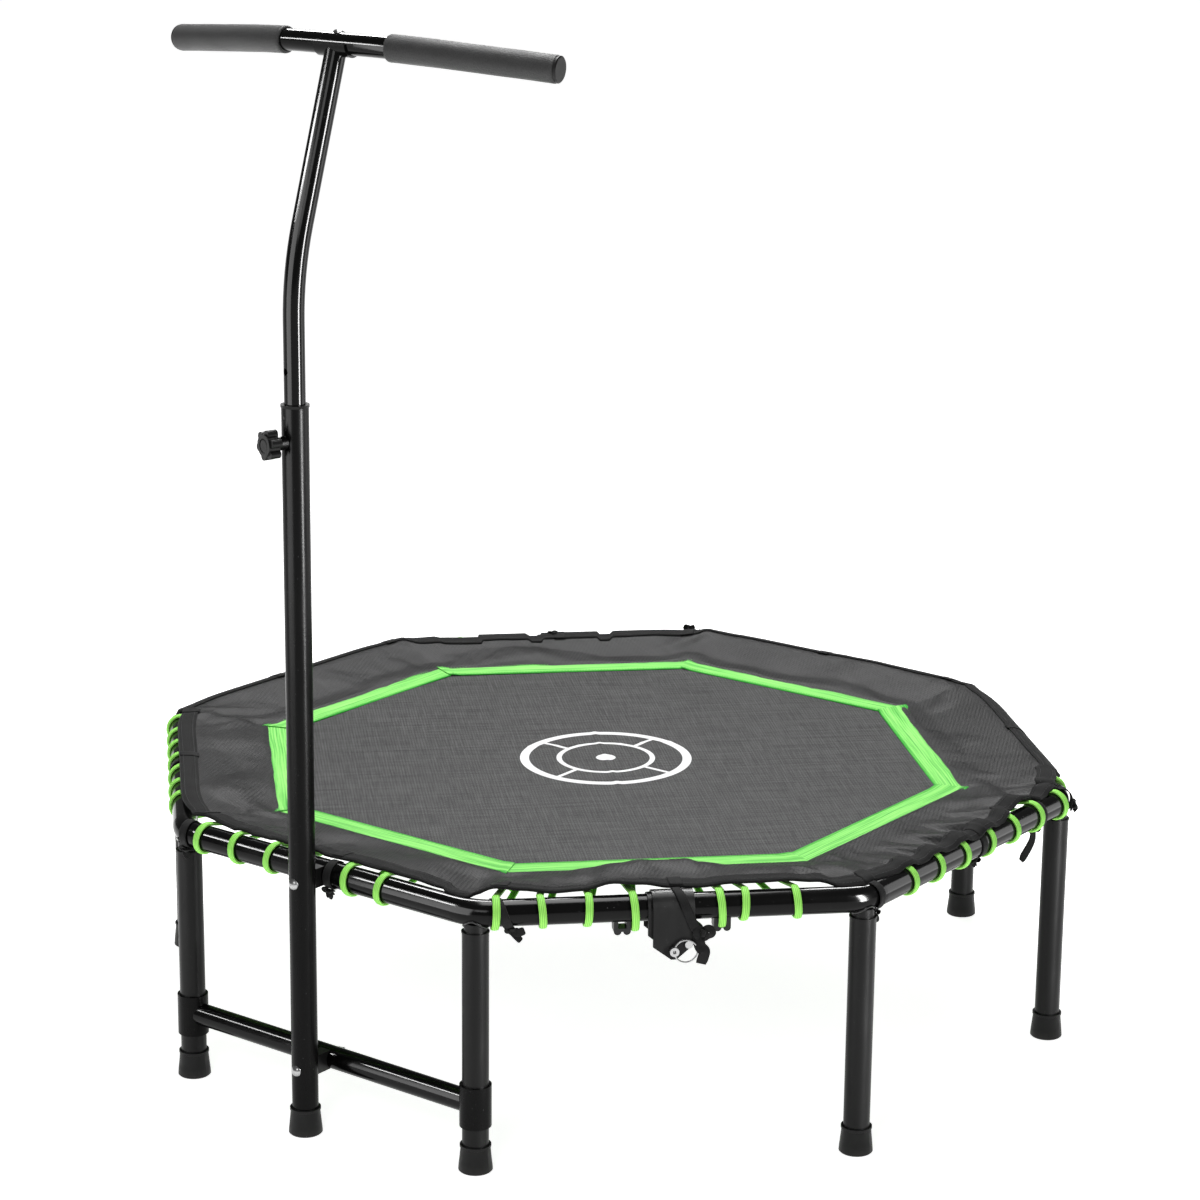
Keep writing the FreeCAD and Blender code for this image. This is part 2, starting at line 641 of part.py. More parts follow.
keep("height_knob", knob_body())
STUD_START = BAR_RADIUS + 0.4
STUD_LENGTH = "%g" % (size("knob_back") + 10 - STUD_START)
keep("knob_stud", knob_way("knob_stud_rod", cell("stud_radius"), KNOB_Z, STUD_START, STUD_LENGTH))
cap_profile = [(0, 0), (CAP, 0), (CAP, 0.7), (CAP - 1.8, 1.3), (0, 1.3)]
cap = keep("knob_cap", revolved("knob_cap", cap_profile))
CAP_SEAT = size("knob_back") + size("knob_thick") - CAP_RECESS
cap.Placement = turned(at(0, POST_Y, KNOB_Z) + KNOB_WAY * CAP_SEAT, KNOB_WAY)

# ------------------------------------------------------------------ fold hinges

PLATE = size("plate")
INNER_BRACKET = TUBE
OUTER_BRACKET = TUBE + PLATE + size("plate_gap")
PIVOT = (size("pivot_along"), -size("pivot_drop"))
PIN = (0.0, -size("pin_drop"))
INNER_OUTLINE = [(-30, 25), (-30, -29), (4, -57), (24.5, -39.5), (24.5, -8), (-2, -8), (-2, 25)]
OUTER_OUTLINE = [(-24.5, 25), (-24.5, -42.4), (-3, -58.4), (3.5, -58.4), (24.5, -40), (24.5, 25)]
PIN_TRAVEL = 74.0


def hinge_place(end):
    return side_placement(FOLD_SIDES[end], 0, AXIS_HEIGHT, APOTHEM)


def fold_frame(end):
    """Local X towards the right half, local Y towards the rear, whichever end it is at."""
    place = hinge_place(end)
    return FreeCAD.Placement(place.Base, FreeCAD.Rotation(UP, 45))


def u_section(radius):
    """An inverted U of plate round the tube, standing in the local YZ plane."""
    reach = -70.0
    far = radius + PLATE
    edges = [
        Part.LineSegment(V(0, far, reach), V(0, far, 0)).toShape(),
        Part.Arc(V(0, far, 0), V(0, 0, far), V(0, -far, 0)).toShape(),
        Part.LineSegment(V(0, -far, 0), V(0, -far, reach)).toShape(),
        Part.LineSegment(V(0, -far, reach), V(0, -radius, reach)).toShape(),
        Part.LineSegment(V(0, -radius, reach), V(0, -radius, 0)).toShape(),
        Part.Arc(V(0, -radius, 0), V(0, 0, radius), V(0, radius, 0)).toShape(),
        Part.LineSegment(V(0, radius, 0), V(0, radius, reach)).toShape(),
        Part.LineSegment(V(0, radius, reach), V(0, far, reach)).toShape(),
    ]
    return Part.Wire(edges)


def prism(outline, reach=60.0):
    """A block across the tube whose side view is the outline of (along, height) points."""
    points = [V(x, -reach, z) for x, z in outline]
    face = Part.Face(Part.makePolygon(points + points[:1]))
    return face.extrude(V(0, 2 * reach, 0))


def cross_rod(spot, radius, length=120.0):
    return Part.makeCylinder(radius, length, V(spot[0], -length / 2, spot[1]), V(0, 1, 0))


def pivot_polar(degrees, reach):
    angle = math.radians(degrees)
    return (PIVOT[0] + reach * math.cos(angle), PIVOT[1] + reach * math.sin(angle))


def arc_slot():
    """The way of the lock pin through the inner plates while the frame folds."""
    reach = math.hypot(PIN[0] - PIVOT[0], PIN[1] - PIVOT[1])
    half = size("lock_pin_radius") + 0.3
    start = math.degrees(math.atan2(PIN[1] - PIVOT[1], PIN[0] - PIVOT[0]))
    ring = cross_rod(PIVOT, reach + half).cut(cross_rod(PIVOT, reach - half))
    fan = [pivot_polar(start - PIN_TRAVEL * step / 4, 80) for step in range(5)]
    end = cross_rod(pivot_polar(start - PIN_TRAVEL, reach), half)
    return ring.common(prism([PIVOT] + fan)).fuse(cross_rod(PIN, half)).fuse(end)


def inner_bracket():
    stock = Part.Face(u_section(INNER_BRACKET)).extrude(V(60, 0, 0))
    stock.translate(V(-30, 0, 0))
    plates = stock.common(prism(INNER_OUTLINE))
    return plates.cut(cross_rod(PIVOT, size("rivet_radius") + size("running"))).cut(arc_slot())


def outer_bracket():
    stock = Part.Face(u_section(OUTER_BRACKET)).extrude(V(60, 0, 0))
    stock.translate(V(-30, 0, 0))
    plates = stock.common(prism(OUTER_OUTLINE))
    shim = Part.makeCylinder(OUTER_BRACKET + 0.5, 21.5, V(3, 0, 0), V(1, 0, 0))
    shim = shim.cut(Part.makeCylinder(TUBE, 30, V(0, 0, 0), V(1, 0, 0)))
    shim = shim.common(prism([(3, 2), (24.5, 2), (24.5, 25), (3, 25)]))
    whole = plates.fuse(shim).removeSplitter()
    for spot, radius in ((PIVOT, "rivet_radius"), (PIN, "lock_pin_radius")):
        whole = whole.cut(cross_rod(spot, size(radius) + size("running")))
    return whole


def placed(label, shape, placement):
    obj = feature(label, shape)
    obj.Placement = placement
    return keep(label, obj)


PLATE_FACE = OUTER_BRACKET + PLATE


RIVET_HEAD = 4.7


def rivet():
    """The pivot rivet: a shank across all four plates, with a flat head at each end."""
    along, height = PIVOT
    start = V(along, -PLATE_FACE, height)
    shank = Part.makeCylinder(size("rivet_radius"), 2 * PLATE_FACE, start, V(0, 1, 0))
    for sign in (-1, 1):
        out = V(0, sign, 0)
        head = Part.makeCylinder(RIVET_HEAD, 2.2, V(along, sign * (PLATE_FACE + 0.15), height), out)
        neck = Part.makeCylinder(size("rivet_radius"), 1, V(along, sign * (PLATE_FACE - 0.5), height), out)
        shank = shank.fuse(neck).fuse(head)
    return shank.removeSplitter()


PIN_HEAD = 5.5
PIN_HEAD_START = PLATE_FACE + 0.4
PIN_HEAD_LENGTH = 6.5
SLOT = 2.2
EYE = 2.3
RING_OFF = PIN_HEAD_START + PIN_HEAD_LENGTH / 2 + 0.4


def lock_pin():
    """The pull pin: its outer end is a cross-drilled head that the ring passes through."""
    end = PLATE_FACE + 3
    rod = Part.makeCylinder(size("lock_pin_radius"), end + PIN_HEAD_START, V(0, end, PIN[1]), V(0, -1, 0))
    head = Part.makeCylinder(PIN_HEAD, PIN_HEAD_LENGTH, V(0, -PIN_HEAD_START, PIN[1]), V(0, -1, 0))
    tip = V(0, -PIN_HEAD_START - PIN_HEAD_LENGTH, PIN[1])
    head = head.cut(Part.makeCylinder(SLOT, 1.2, tip, V(0, 1, 0)))
    eye = Part.makeCylinder(EYE, 40, V(0, -RING_OFF, PIN[1] - 20), UP)
    return rod.fuse(head).cut(eye)


def pull_ring():
    ring = size("ring_radius")
    return Part.makeTorus(ring, size("wire_radius"), V(ring, -RING_OFF, PIN[1]), V(0, 1, 0))


for end in FOLD_SIDES:
    placed("hinge_inner_" + end, inner_bracket(), fold_frame(end))
    placed("hinge_outer_" + end, outer_bracket(), fold_frame(end))
    placed("lock_pin_" + end, lock_pin(), hinge_place(end))
    placed("pull_ring_" + end, pull_ring(), hinge_place(end))
rivet_master = feature("rivet", rivet())
copies("hinge_rivets", rivet_master, [fold_frame(end) for end in FOLD_SIDES])

# ------------------------------------------------------------------ mat, band and skirt

halves = {"left": half_space("left_space", -1), "right": half_space("right_space", 1)}
EDGE_TURN = 22.5


def octagon(name, apothem, z):
    """A regular octagon outline whose flats stand at the given apothem expression."""
    ring = doc.addObject("Part::RegularPolygon", name)
    ring.Polygon = SIDES
    ring.setExpression("Circumradius", "(%s) / cos(22.5 deg)" % apothem)
    ring.Placement = FreeCAD.Placement(at(0, 0, z), FreeCAD.Rotation(UP, EDGE_TURN))
    return ring


BAND_LEVEL = size("mat_level") + size("mat_thick")
SKIRT_LEVEL = BAND_LEVEL + size("band_thick") + 0.4
mat_outline = octagon("mat_outline", cell("mat_apothem"), size("mat_level"))
mat_sheet = extrusion("mat_sheet", mat_outline, cell("mat_thick"))
band_outline = octagon("band_outline", cell("mat_apothem"), BAND_LEVEL)
band_plate = extrusion("band_plate", band_outline, cell("band_thick"))
BAND_INSIDE = cell("mat_apothem") + " - " + cell("band_width")
band_inside = extrusion("band_inside", octagon("band_inner_outline", BAND_INSIDE, BAND_LEVEL - 1), "10")
band_ring = cut("band_ring", band_plate, [band_inside])


def funnel(name, z):
    """The space inside the skirt's slope, from the mat's edge out to the frame."""
    cone = doc.addObject("Part::Loft", name)
    low = octagon(name + "_low", cell("mat_apothem"), z)
    high = octagon(name + "_high", cell("skirt_apothem"), z + size("skirt_rise"))
    cone.Sections = [low, high]
    cone.Solid = True
    cone.Ruled = True
    return cone


skirt_hole_outline = octagon("skirt_hole_outline", cell("mat_apothem"), SKIRT_LEVEL - 5)
skirt_hole = extrusion("skirt_hole", skirt_hole_outline, "60")
# A notch at each hinge leaves room for the outer bracket, which rises as the frame folds.
NOTCH_HALF = 28
notches = []
for end, number in FOLD_SIDES.items():
    place = side_placement(number, -NOTCH_HALF, SKIRT_LEVEL, APOTHEM + 35)
    notches.append(box("skirt_notch_" + end, "%g" % (2 * NOTCH_HALF), "60", "60", place))
skirt_ring = cut("skirt_ring", funnel("skirt_under", SKIRT_LEVEL),
                 [funnel("skirt_over", SKIRT_LEVEL + size("skirt_thick")), skirt_hole] + notches)
for side, space in halves.items():
    for label, whole in (("mat_", mat_sheet), ("mat_band_", band_ring), ("skirt_", skirt_ring)):
        keep(label + side, common(label + side, [whole, space]))

# ------------------------------------------------------------------ cord loops, rods, ties, keepers

# Places along each side, from its middle, in the sense of increasing corner number.
# Each side's loops stand in runs: (first place, step, how many), in mm along the side. The front side
# leaves room for the post's spacer, and the hinge sides start from the keepers beside the hinge.
USUAL_RUNS = [(-168, 56, 7)]
POST_RUNS = [(-24, -48, 4), (48, 50, 2)]
KEEPER_SPOT = int(size("keeper_along"))
HINGE_STEP = 36
FRONT_HINGE_RUNS = [(-KEEPER_SPOT, -HINGE_STEP, 4), (KEEPER_SPOT, HINGE_STEP, 3)]
REAR_HINGE_RUNS = [(-KEEPER_SPOT, -HINGE_STEP, 4), (KEEPER_SPOT, HINGE_STEP, 4)]


def run_places(runs):
    return [first + step * k for first, step, count in runs for k in range(count)]


USUAL_LOOPS = run_places(USUAL_RUNS)
LOOPS = {1: run_places(POST_RUNS), 2: run_places(FRONT_HINGE_RUNS), 6: run_places(REAR_HINGE_RUNS)}
USUAL_TIES = [-196, 30]
TIES = {1: [-196, 15], 2: [-196, 40], 3: [-196, 17, 126], 6: [-196, 150], 8: [-196, -16]}


def sides_of(side):
    """(side number, low, high) along limits of the sides that belong to one half."""
    if side == "left":
        return [(2, -BIG, 0), (1, -BIG, BIG), (8, -BIG, BIG), (7, -BIG, BIG), (6, 0, BIG)]
    return [(2, 0, BIG), (3, -BIG, BIG), (4, -BIG, BIG), (5, -BIG, BIG), (6, -BIG, 0)]


def places(side, table, usual):
    spots = []
    for number, low, high in sides_of(side):
        spots += [(number, along) for along in table.get(number, usual) if low < along < high]
    return spots


def belt_face(outer_radius, inner_radius):
    """A taut belt round the frame tube and a mat rod, in the local YZ plane."""
    near = V(0, 0, AXIS_HEIGHT)
    far = V(0, APOTHEM - size("rod_apothem"), size("rod_level"))
    line = far - near
    span = line.Length
    lean = math.atan2(line.z, line.y)
    opening = math.acos((outer_radius - inner_radius) / span)

    def spot(centre, radius, angle):
        return centre + V(0, radius * math.cos(angle), radius * math.sin(angle))

    over, under = lean + opening, lean - opening
    tube_over, tube_under = spot(near, outer_radius, over), spot(near, outer_radius, under)
    rod_over, rod_under = spot(far, inner_radius, over), spot(far, inner_radius, under)
    edges = [
        Part.LineSegment(tube_over, rod_over).toShape(),
        Part.Arc(rod_over, spot(far, inner_radius, lean), rod_under).toShape(),
        Part.LineSegment(rod_under, tube_under).toShape(),
        Part.Arc(tube_under, spot(near, outer_radius, lean + math.pi), tube_over).toShape(),
    ]
    return Part.Face(Part.Wire(edges))


def belt():
    width = size("cord_width")
    thick = size("cord_thick")
    hole = belt_face(TUBE + 0.1, size("rod_radius") + 0.1).extrude(V(width + 4, 0, 0))
    hole.translate(V(-2, 0, 0))
    band = belt_face(TUBE + thick, size("rod_radius") + 3.4).extrude(V(width, 0, 0)).cut(hole)
    band.translate(V(-width / 2, 0, 0))
    return band


def rod():
    """A mat rod with the two webbing tabs that hold it under the mat's edge."""
    half = size("rod_half")
    y = APOTHEM - size("rod_apothem")
    level = size("rod_level")
    bar = Part.makeCylinder(size("rod_radius"), 2 * half, V(-half, y, level), V(1, 0, 0))
    inner = APOTHEM - size("mat_apothem") + 14
    tab_width = 4.0
    for sign in (-1, 1):
        x = sign * (half - tab_width / 2) - tab_width / 2
        tab = Part.makeBox(tab_width, inner - y, 2.4, V(x, y, level - 1.2))
        riser = Part.makeBox(tab_width, 8, size("mat_level") - level + 1.2, V(x, inner - 8, level - 1.2))
        bar = bar.fuse(tab).fuse(riser)
    return bar.removeSplitter()


def tie():
    """A tape tied round the frame tube, with one hanging tail."""
    width = size("tape_width")
    thick = size("tape_thick")
    loop = Part.makeCylinder(TUBE + 0.1 + thick, width, V(-width / 2, 0, AXIS_HEIGHT), V(1, 0, 0))
    loop = loop.cut(Part.makeCylinder(TUBE + 0.1, width, V(-width / 2, 0, AXIS_HEIGHT), V(1, 0, 0)))
    length = size("tape_tail")
    tail = Part.makeBox(width, thick + 0.8, length, V(-width / 2, -2, AXIS_HEIGHT - TUBE - 0.6 - length))
    return loop.fuse(tail).removeSplitter()


def keeper():
    """A two-lobed saddle under the tube beside the hinge, with a groove that holds a cord loop."""
    width = size("keeper_width")
    deep = size("keeper_deep")
    lobe = size("keeper_lobe")
    underside = AXIS_HEIGHT - TUBE
    block = Part.makeBox(width, deep, 14, V(-width / 2, -deep / 2, underside - size("keeper_drop")))
    for sign in (-1, 1):
        spot = V(sign * (width / 2 - lobe), -deep / 2, underside - size("keeper_drop") + 0.5)
        block = block.fuse(Part.makeCylinder(lobe, deep, spot, V(0, 1, 0)))
    block = block.cut(Part.makeCylinder(TUBE + 0.05, width, V(-width / 2, 0, AXIS_HEIGHT), V(1, 0, 0)))
    groove = size("cord_width") + 1
    block = block.cut(Part.makeBox(groove, 2 * deep, 11, V(-groove / 2, -deep, underside - 6)))
    return block.removeSplitter()


masters = {name: feature(name + "_master", shape) for name, shape in
           (("belt", belt()), ("rod", rod()), ("tie", tie()), ("keeper", keeper()))}
for side, sign in (("left", -1), ("right", 1)):
    loop_places = [side_placement(n, along, 0, APOTHEM) for n, along in places(side, LOOPS, USUAL_LOOPS)]
    tie_places = [side_placement(n, along, 0, APOTHEM) for n, along in places(side, TIES, USUAL_TIES)]
    keeper_places = [side_placement(2, sign * size("keeper_along"), 0, APOTHEM),
                     side_placement(6, -sign * size("keeper_along"), 0, APOTHEM)]
    copies("cord_loops_" + side, masters["belt"], loop_places)
    copies("mat_rods_" + side, masters["rod"], loop_places)
    copies("skirt_ties_" + side, masters["tie"], tie_places)
    copies("cord_keepers_" + side, masters["keeper"], keeper_places)

# ------------------------------------------------------------------ check and write

doc.recompute()
for obj in doc.Objects:
    if "Invalid" in obj.State or "Error" in obj.State:
        raise RuntimeError("%s did not build: %s" % (obj.Label, obj.State))
for label, obj in nodes.items():
    shape = obj.Shape
    if shape.isNull() or not shape.isValid() or not shape.Solids:
        raise RuntimeError("%s has no valid solid" % label)

os.makedirs("parts", exist_ok=True)
for label, obj in nodes.items():
    obj.Shape.exportStep("parts/%s.step" % label)
    print("%-22s solids %3d  volume %10.1f mm3" % (label, len(obj.Shape.Solids), obj.Shape.Volume))
print(len(nodes), "sub-parts")
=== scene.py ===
import bisect
import json
import math

import bpy
from mathutils import Matrix, Vector, noise

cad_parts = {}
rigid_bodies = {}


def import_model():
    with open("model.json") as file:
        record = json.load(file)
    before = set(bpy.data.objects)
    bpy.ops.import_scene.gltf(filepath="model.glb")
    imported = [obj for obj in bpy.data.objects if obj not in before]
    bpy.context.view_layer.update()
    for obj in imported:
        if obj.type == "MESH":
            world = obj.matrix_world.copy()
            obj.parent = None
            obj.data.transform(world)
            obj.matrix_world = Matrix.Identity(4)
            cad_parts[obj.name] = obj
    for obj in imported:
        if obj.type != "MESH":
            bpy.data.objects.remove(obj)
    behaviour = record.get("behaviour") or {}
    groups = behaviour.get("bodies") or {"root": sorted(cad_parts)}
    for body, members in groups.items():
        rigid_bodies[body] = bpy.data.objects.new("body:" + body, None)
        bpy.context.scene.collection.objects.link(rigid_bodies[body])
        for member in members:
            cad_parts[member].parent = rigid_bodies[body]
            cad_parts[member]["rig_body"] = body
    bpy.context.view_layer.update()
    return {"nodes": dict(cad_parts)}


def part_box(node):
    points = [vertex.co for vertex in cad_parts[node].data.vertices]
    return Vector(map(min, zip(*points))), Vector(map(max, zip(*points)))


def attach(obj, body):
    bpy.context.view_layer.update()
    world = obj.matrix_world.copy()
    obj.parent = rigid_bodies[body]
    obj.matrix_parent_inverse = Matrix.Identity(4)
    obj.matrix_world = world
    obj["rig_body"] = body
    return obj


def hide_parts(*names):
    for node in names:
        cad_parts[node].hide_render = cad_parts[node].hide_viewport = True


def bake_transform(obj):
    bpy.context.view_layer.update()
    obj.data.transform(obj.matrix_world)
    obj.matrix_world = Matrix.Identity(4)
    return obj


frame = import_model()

# Looks of the folding octagonal mini trampoline: the tubes, plates and feet are the CAD's own
# meshes with better materials, and every piece of cloth, cord, tape and foam is built here.

MM = 0.001

# ------------------------------------------------------------------ places read from the frame


def joined_box(*names):
    """The lowest and highest corner of several CAD nodes together."""
    lows, highs = zip(*(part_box(name) for name in names))
    low = Vector([min(point[axis] for point in lows) for axis in range(3)])
    high = Vector([max(point[axis] for point in highs) for axis in range(3)])
    return low, high


FRAME_LOW, FRAME_HIGH = joined_box("frame_tube_left", "frame_tube_right")
MAT_LOW, MAT_HIGH = joined_box("mat_left", "mat_right")
LEG_LOW, LEG_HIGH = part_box("leg_3")
POST_LOW, POST_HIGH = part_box("handle_post")

TUBE = (FRAME_HIGH.z - FRAME_LOW.z) / 2
CENTRE = (MAT_LOW + MAT_HIGH) / 2
APOTHEM = (FRAME_HIGH.x - FRAME_LOW.x) / 2 - TUBE
AXIS_Z = (FRAME_HIGH.z + FRAME_LOW.z) / 2
TUBE_TOP = AXIS_Z + TUBE
MAT_APOTHEM = (MAT_HIGH.x - MAT_LOW.x) / 2
MAT_Z = MAT_HIGH.z
POST_Y = (POST_LOW.y + POST_HIGH.y) / 2
LEG_RADIUS = math.hypot((LEG_LOW.x + LEG_HIGH.x) / 2 - CENTRE.x, (LEG_LOW.y + LEG_HIGH.y) / 2 - CENTRE.y)
UP = Vector((0, 0, 1))
SIDES = range(1, 9)
HALF_TURN = 22.5
FIRST_CORNER = -90 - HALF_TURN
FOLD_ALONG = Vector((math.sqrt(0.5), math.sqrt(0.5), 0))


def heading(degrees):
    return Vector((math.cos(math.radians(degrees)), math.sin(math.radians(degrees)), 0))


def side_facing(side):
    """Side 1 is the handle's, facing -Y, and the numbers go counter-clockwise."""
    return -90 + 45 * (side - 1)


def on_side(side, along, apothem, z):
    """A point by a side: so far along it from its middle, so far out from the centre, so high."""
    facing = side_facing(side)
    spot = CENTRE + heading(facing) * apothem + heading(facing + 90) * along
    return Vector((spot.x, spot.y, z))


def by_tube(side, along, inwards, upwards):
    """A point given from the frame tube's own axis."""
    return on_side(side, along, APOTHEM - inwards, AXIS_Z + upwards)


def body_at(point):
    """The half of the frame that a point stands over."""
    return "folding_half" if (point - CENTRE).dot(FOLD_ALONG) > 0 else "fixed_half"


def smooth(share):
    share = min(max(share, 0.0), 1.0)
    return share * share * (3 - 2 * share)


def bump_near(along, places, width):
    """1 at any of the places along a side, and 0 further off than about twice the width."""
    return max([math.exp(-((along - place) / width) ** 2) for place in places] or [0.0])


def over_any(along, places, flat, skirt):
    """1 within a flat distance of any of the places, sloping to 0 over the skirt beyond it."""
    nearest = min([abs(along - place) for place in places] or [1.0])
    return 1 - smooth((nearest - flat) / skirt)


# ------------------------------------------------------------------ mesh building


class Surface:
    """Collects patches of quads, with cloth coordinates in metres, and makes one smooth mesh of them."""

    def __init__(self, name):
        self.name = name
        self.points = []
        self.faces = []
        self.coordinates = []

    def patch(self, rows, ring_rows=False, ring_columns=False, plan=None):
        """rows[i][j] are points, and plan gives a point's cloth coordinates in place of the running ones."""
        first = len(self.points)
        height, width = len(rows), len(rows[0])
        for row in rows:
            self.points.extend(row)
        across = self.running(rows[height // 2], ring_columns)
        down = self.running([row[width // 2] for row in rows], ring_rows)
        for i in range(height if ring_rows else height - 1):
            for j in range(width if ring_columns else width - 1):
                corners = [(i, j), (i, j + 1), (i + 1, j + 1), (i + 1, j)]
                self.faces.append([first + (a % height) * width + b % width for a, b in corners])
                if plan:
                    self.coordinates.append([plan(rows[a % height][b % width]) for a, b in corners])
                else:
                    self.coordinates.append([(across[b], down[a]) for a, b in corners])

    @staticmethod
    def running(points, ring):
        """The distance travelled at each point of a line, and back at the first one in a ring."""
        total = [0.0]
        for a, b in zip(points, points[1:] + ([points[0]] if ring else [])):
            total.append(total[-1] + (b - a).length)
        return total

    def cap(self, ring):
        """Closes a ring of points with a fan about its middle."""
        middle = sum(ring, Vector()) / len(ring)
        first = len(self.points)
        self.points.extend(ring)
        self.points.append(middle)
        for j in range(len(ring)):
            self.faces.append([first + j, first + (j + 1) % len(ring), first + len(ring)])
            self.coordinates.append([(0.0, 0.0)] * 3)

    def sweep(self, path, outward, profile, ring=False, taper=None):
        """Carries a closed profile of (across, out) offsets along a path, with the way out at each point."""
        rows = []
        count = len(path)
        for i, (point, out) in enumerate(zip(path, outward)):
            before = path[i - 1] if i or ring else point
            after = path[(i + 1) % count] if i + 1 < count or ring else point
            tangent = (after - before).normalized()
            across = tangent.cross(out).normalized()
            out = across.cross(tangent)
            grow = taper(i / (count - 1)) if taper else 1.0
            rows.append([point + across * (x * grow) + out * (y * grow) for x, y in profile])
        self.patch(rows, ring_rows=ring, ring_columns=True)
        if not ring:
            self.cap(rows[0])
            self.cap(list(reversed(rows[-1])))

    def build(self, material, slot, thickness=0.0):
        mesh = bpy.data.meshes.new(self.name)
        mesh.from_pydata([tuple(p) for p in self.points], [], self.faces)
        layer = mesh.uv_layers.new(name="cloth")
        flat = [value for face in self.coordinates for corner in face for value in corner]
        layer.data.foreach_set("uv", flat)
        mesh.polygons.foreach_set("use_smooth", [True] * len(mesh.polygons))
        mesh.validate()
        piece = bpy.data.objects.new(self.name, mesh)
        bpy.context.scene.collection.objects.link(piece)
        mesh.materials.append(material)
        if thickness:
            solid = piece.modifiers.new("thickness", "SOLIDIFY")
            solid.thickness = thickness
            solid.offset = 0.0
        return piece


def round_profile(radius, count=12):
    turns = [math.tau * k / count for k in range(count)]
    return [(radius * math.cos(turn), radius * math.sin(turn)) for turn in turns]


def strip_profile(width, thick, count=5):
    """A flat strip's section, with round edges and a few points across each face."""
    half, edge = width / 2 - thick / 2, thick / 2
    top = [(half - 2 * half * k / count, edge) for k in range(count + 1)]
    bottom = [(-x, -y) for x, y in top]
    return top + [(-width / 2, 0)] + bottom + [(width / 2, 0)]


def cord_profile(width, thick, ridge=0.2 * MM, count=36):
    """A flat-oval elastic cord's section with the lengthwise ridges of its rubber strands."""
    points = []
    for k in range(count):
        turn = math.tau * k / count
        c, s = math.cos(turn), math.sin(turn)
        x = math.copysign(abs(c) ** 0.8, c) * width / 2
        y = math.copysign(abs(s) ** 0.8, s) * thick / 2
        swell = 1 + ridge / thick * 2 * math.cos(math.tau * x / (width / 4.5))
        points.append((x, y * swell))
    return points


def flowing(points, count):
    """A smooth line through a few points, by Catmull-Rom spans."""
    padded = [points[0] * 2 - points[1]] + list(points) + [points[-1] * 2 - points[-2]]
    spots = []
    for p0, p1, p2, p3 in zip(padded, padded[1:], padded[2:], padded[3:]):
        for k in range(count):
            t = k / count
            spots.append(0.5 * (2 * p1 + (p2 - p0) * t + (2 * p0 - 5 * p1 + 4 * p2 - p3) * t * t
                                + (3 * p1 - p0 - 3 * p2 + p3) * t ** 3))
    spots.append(points[-1])
    return spots


# ------------------------------------------------------------------ materials


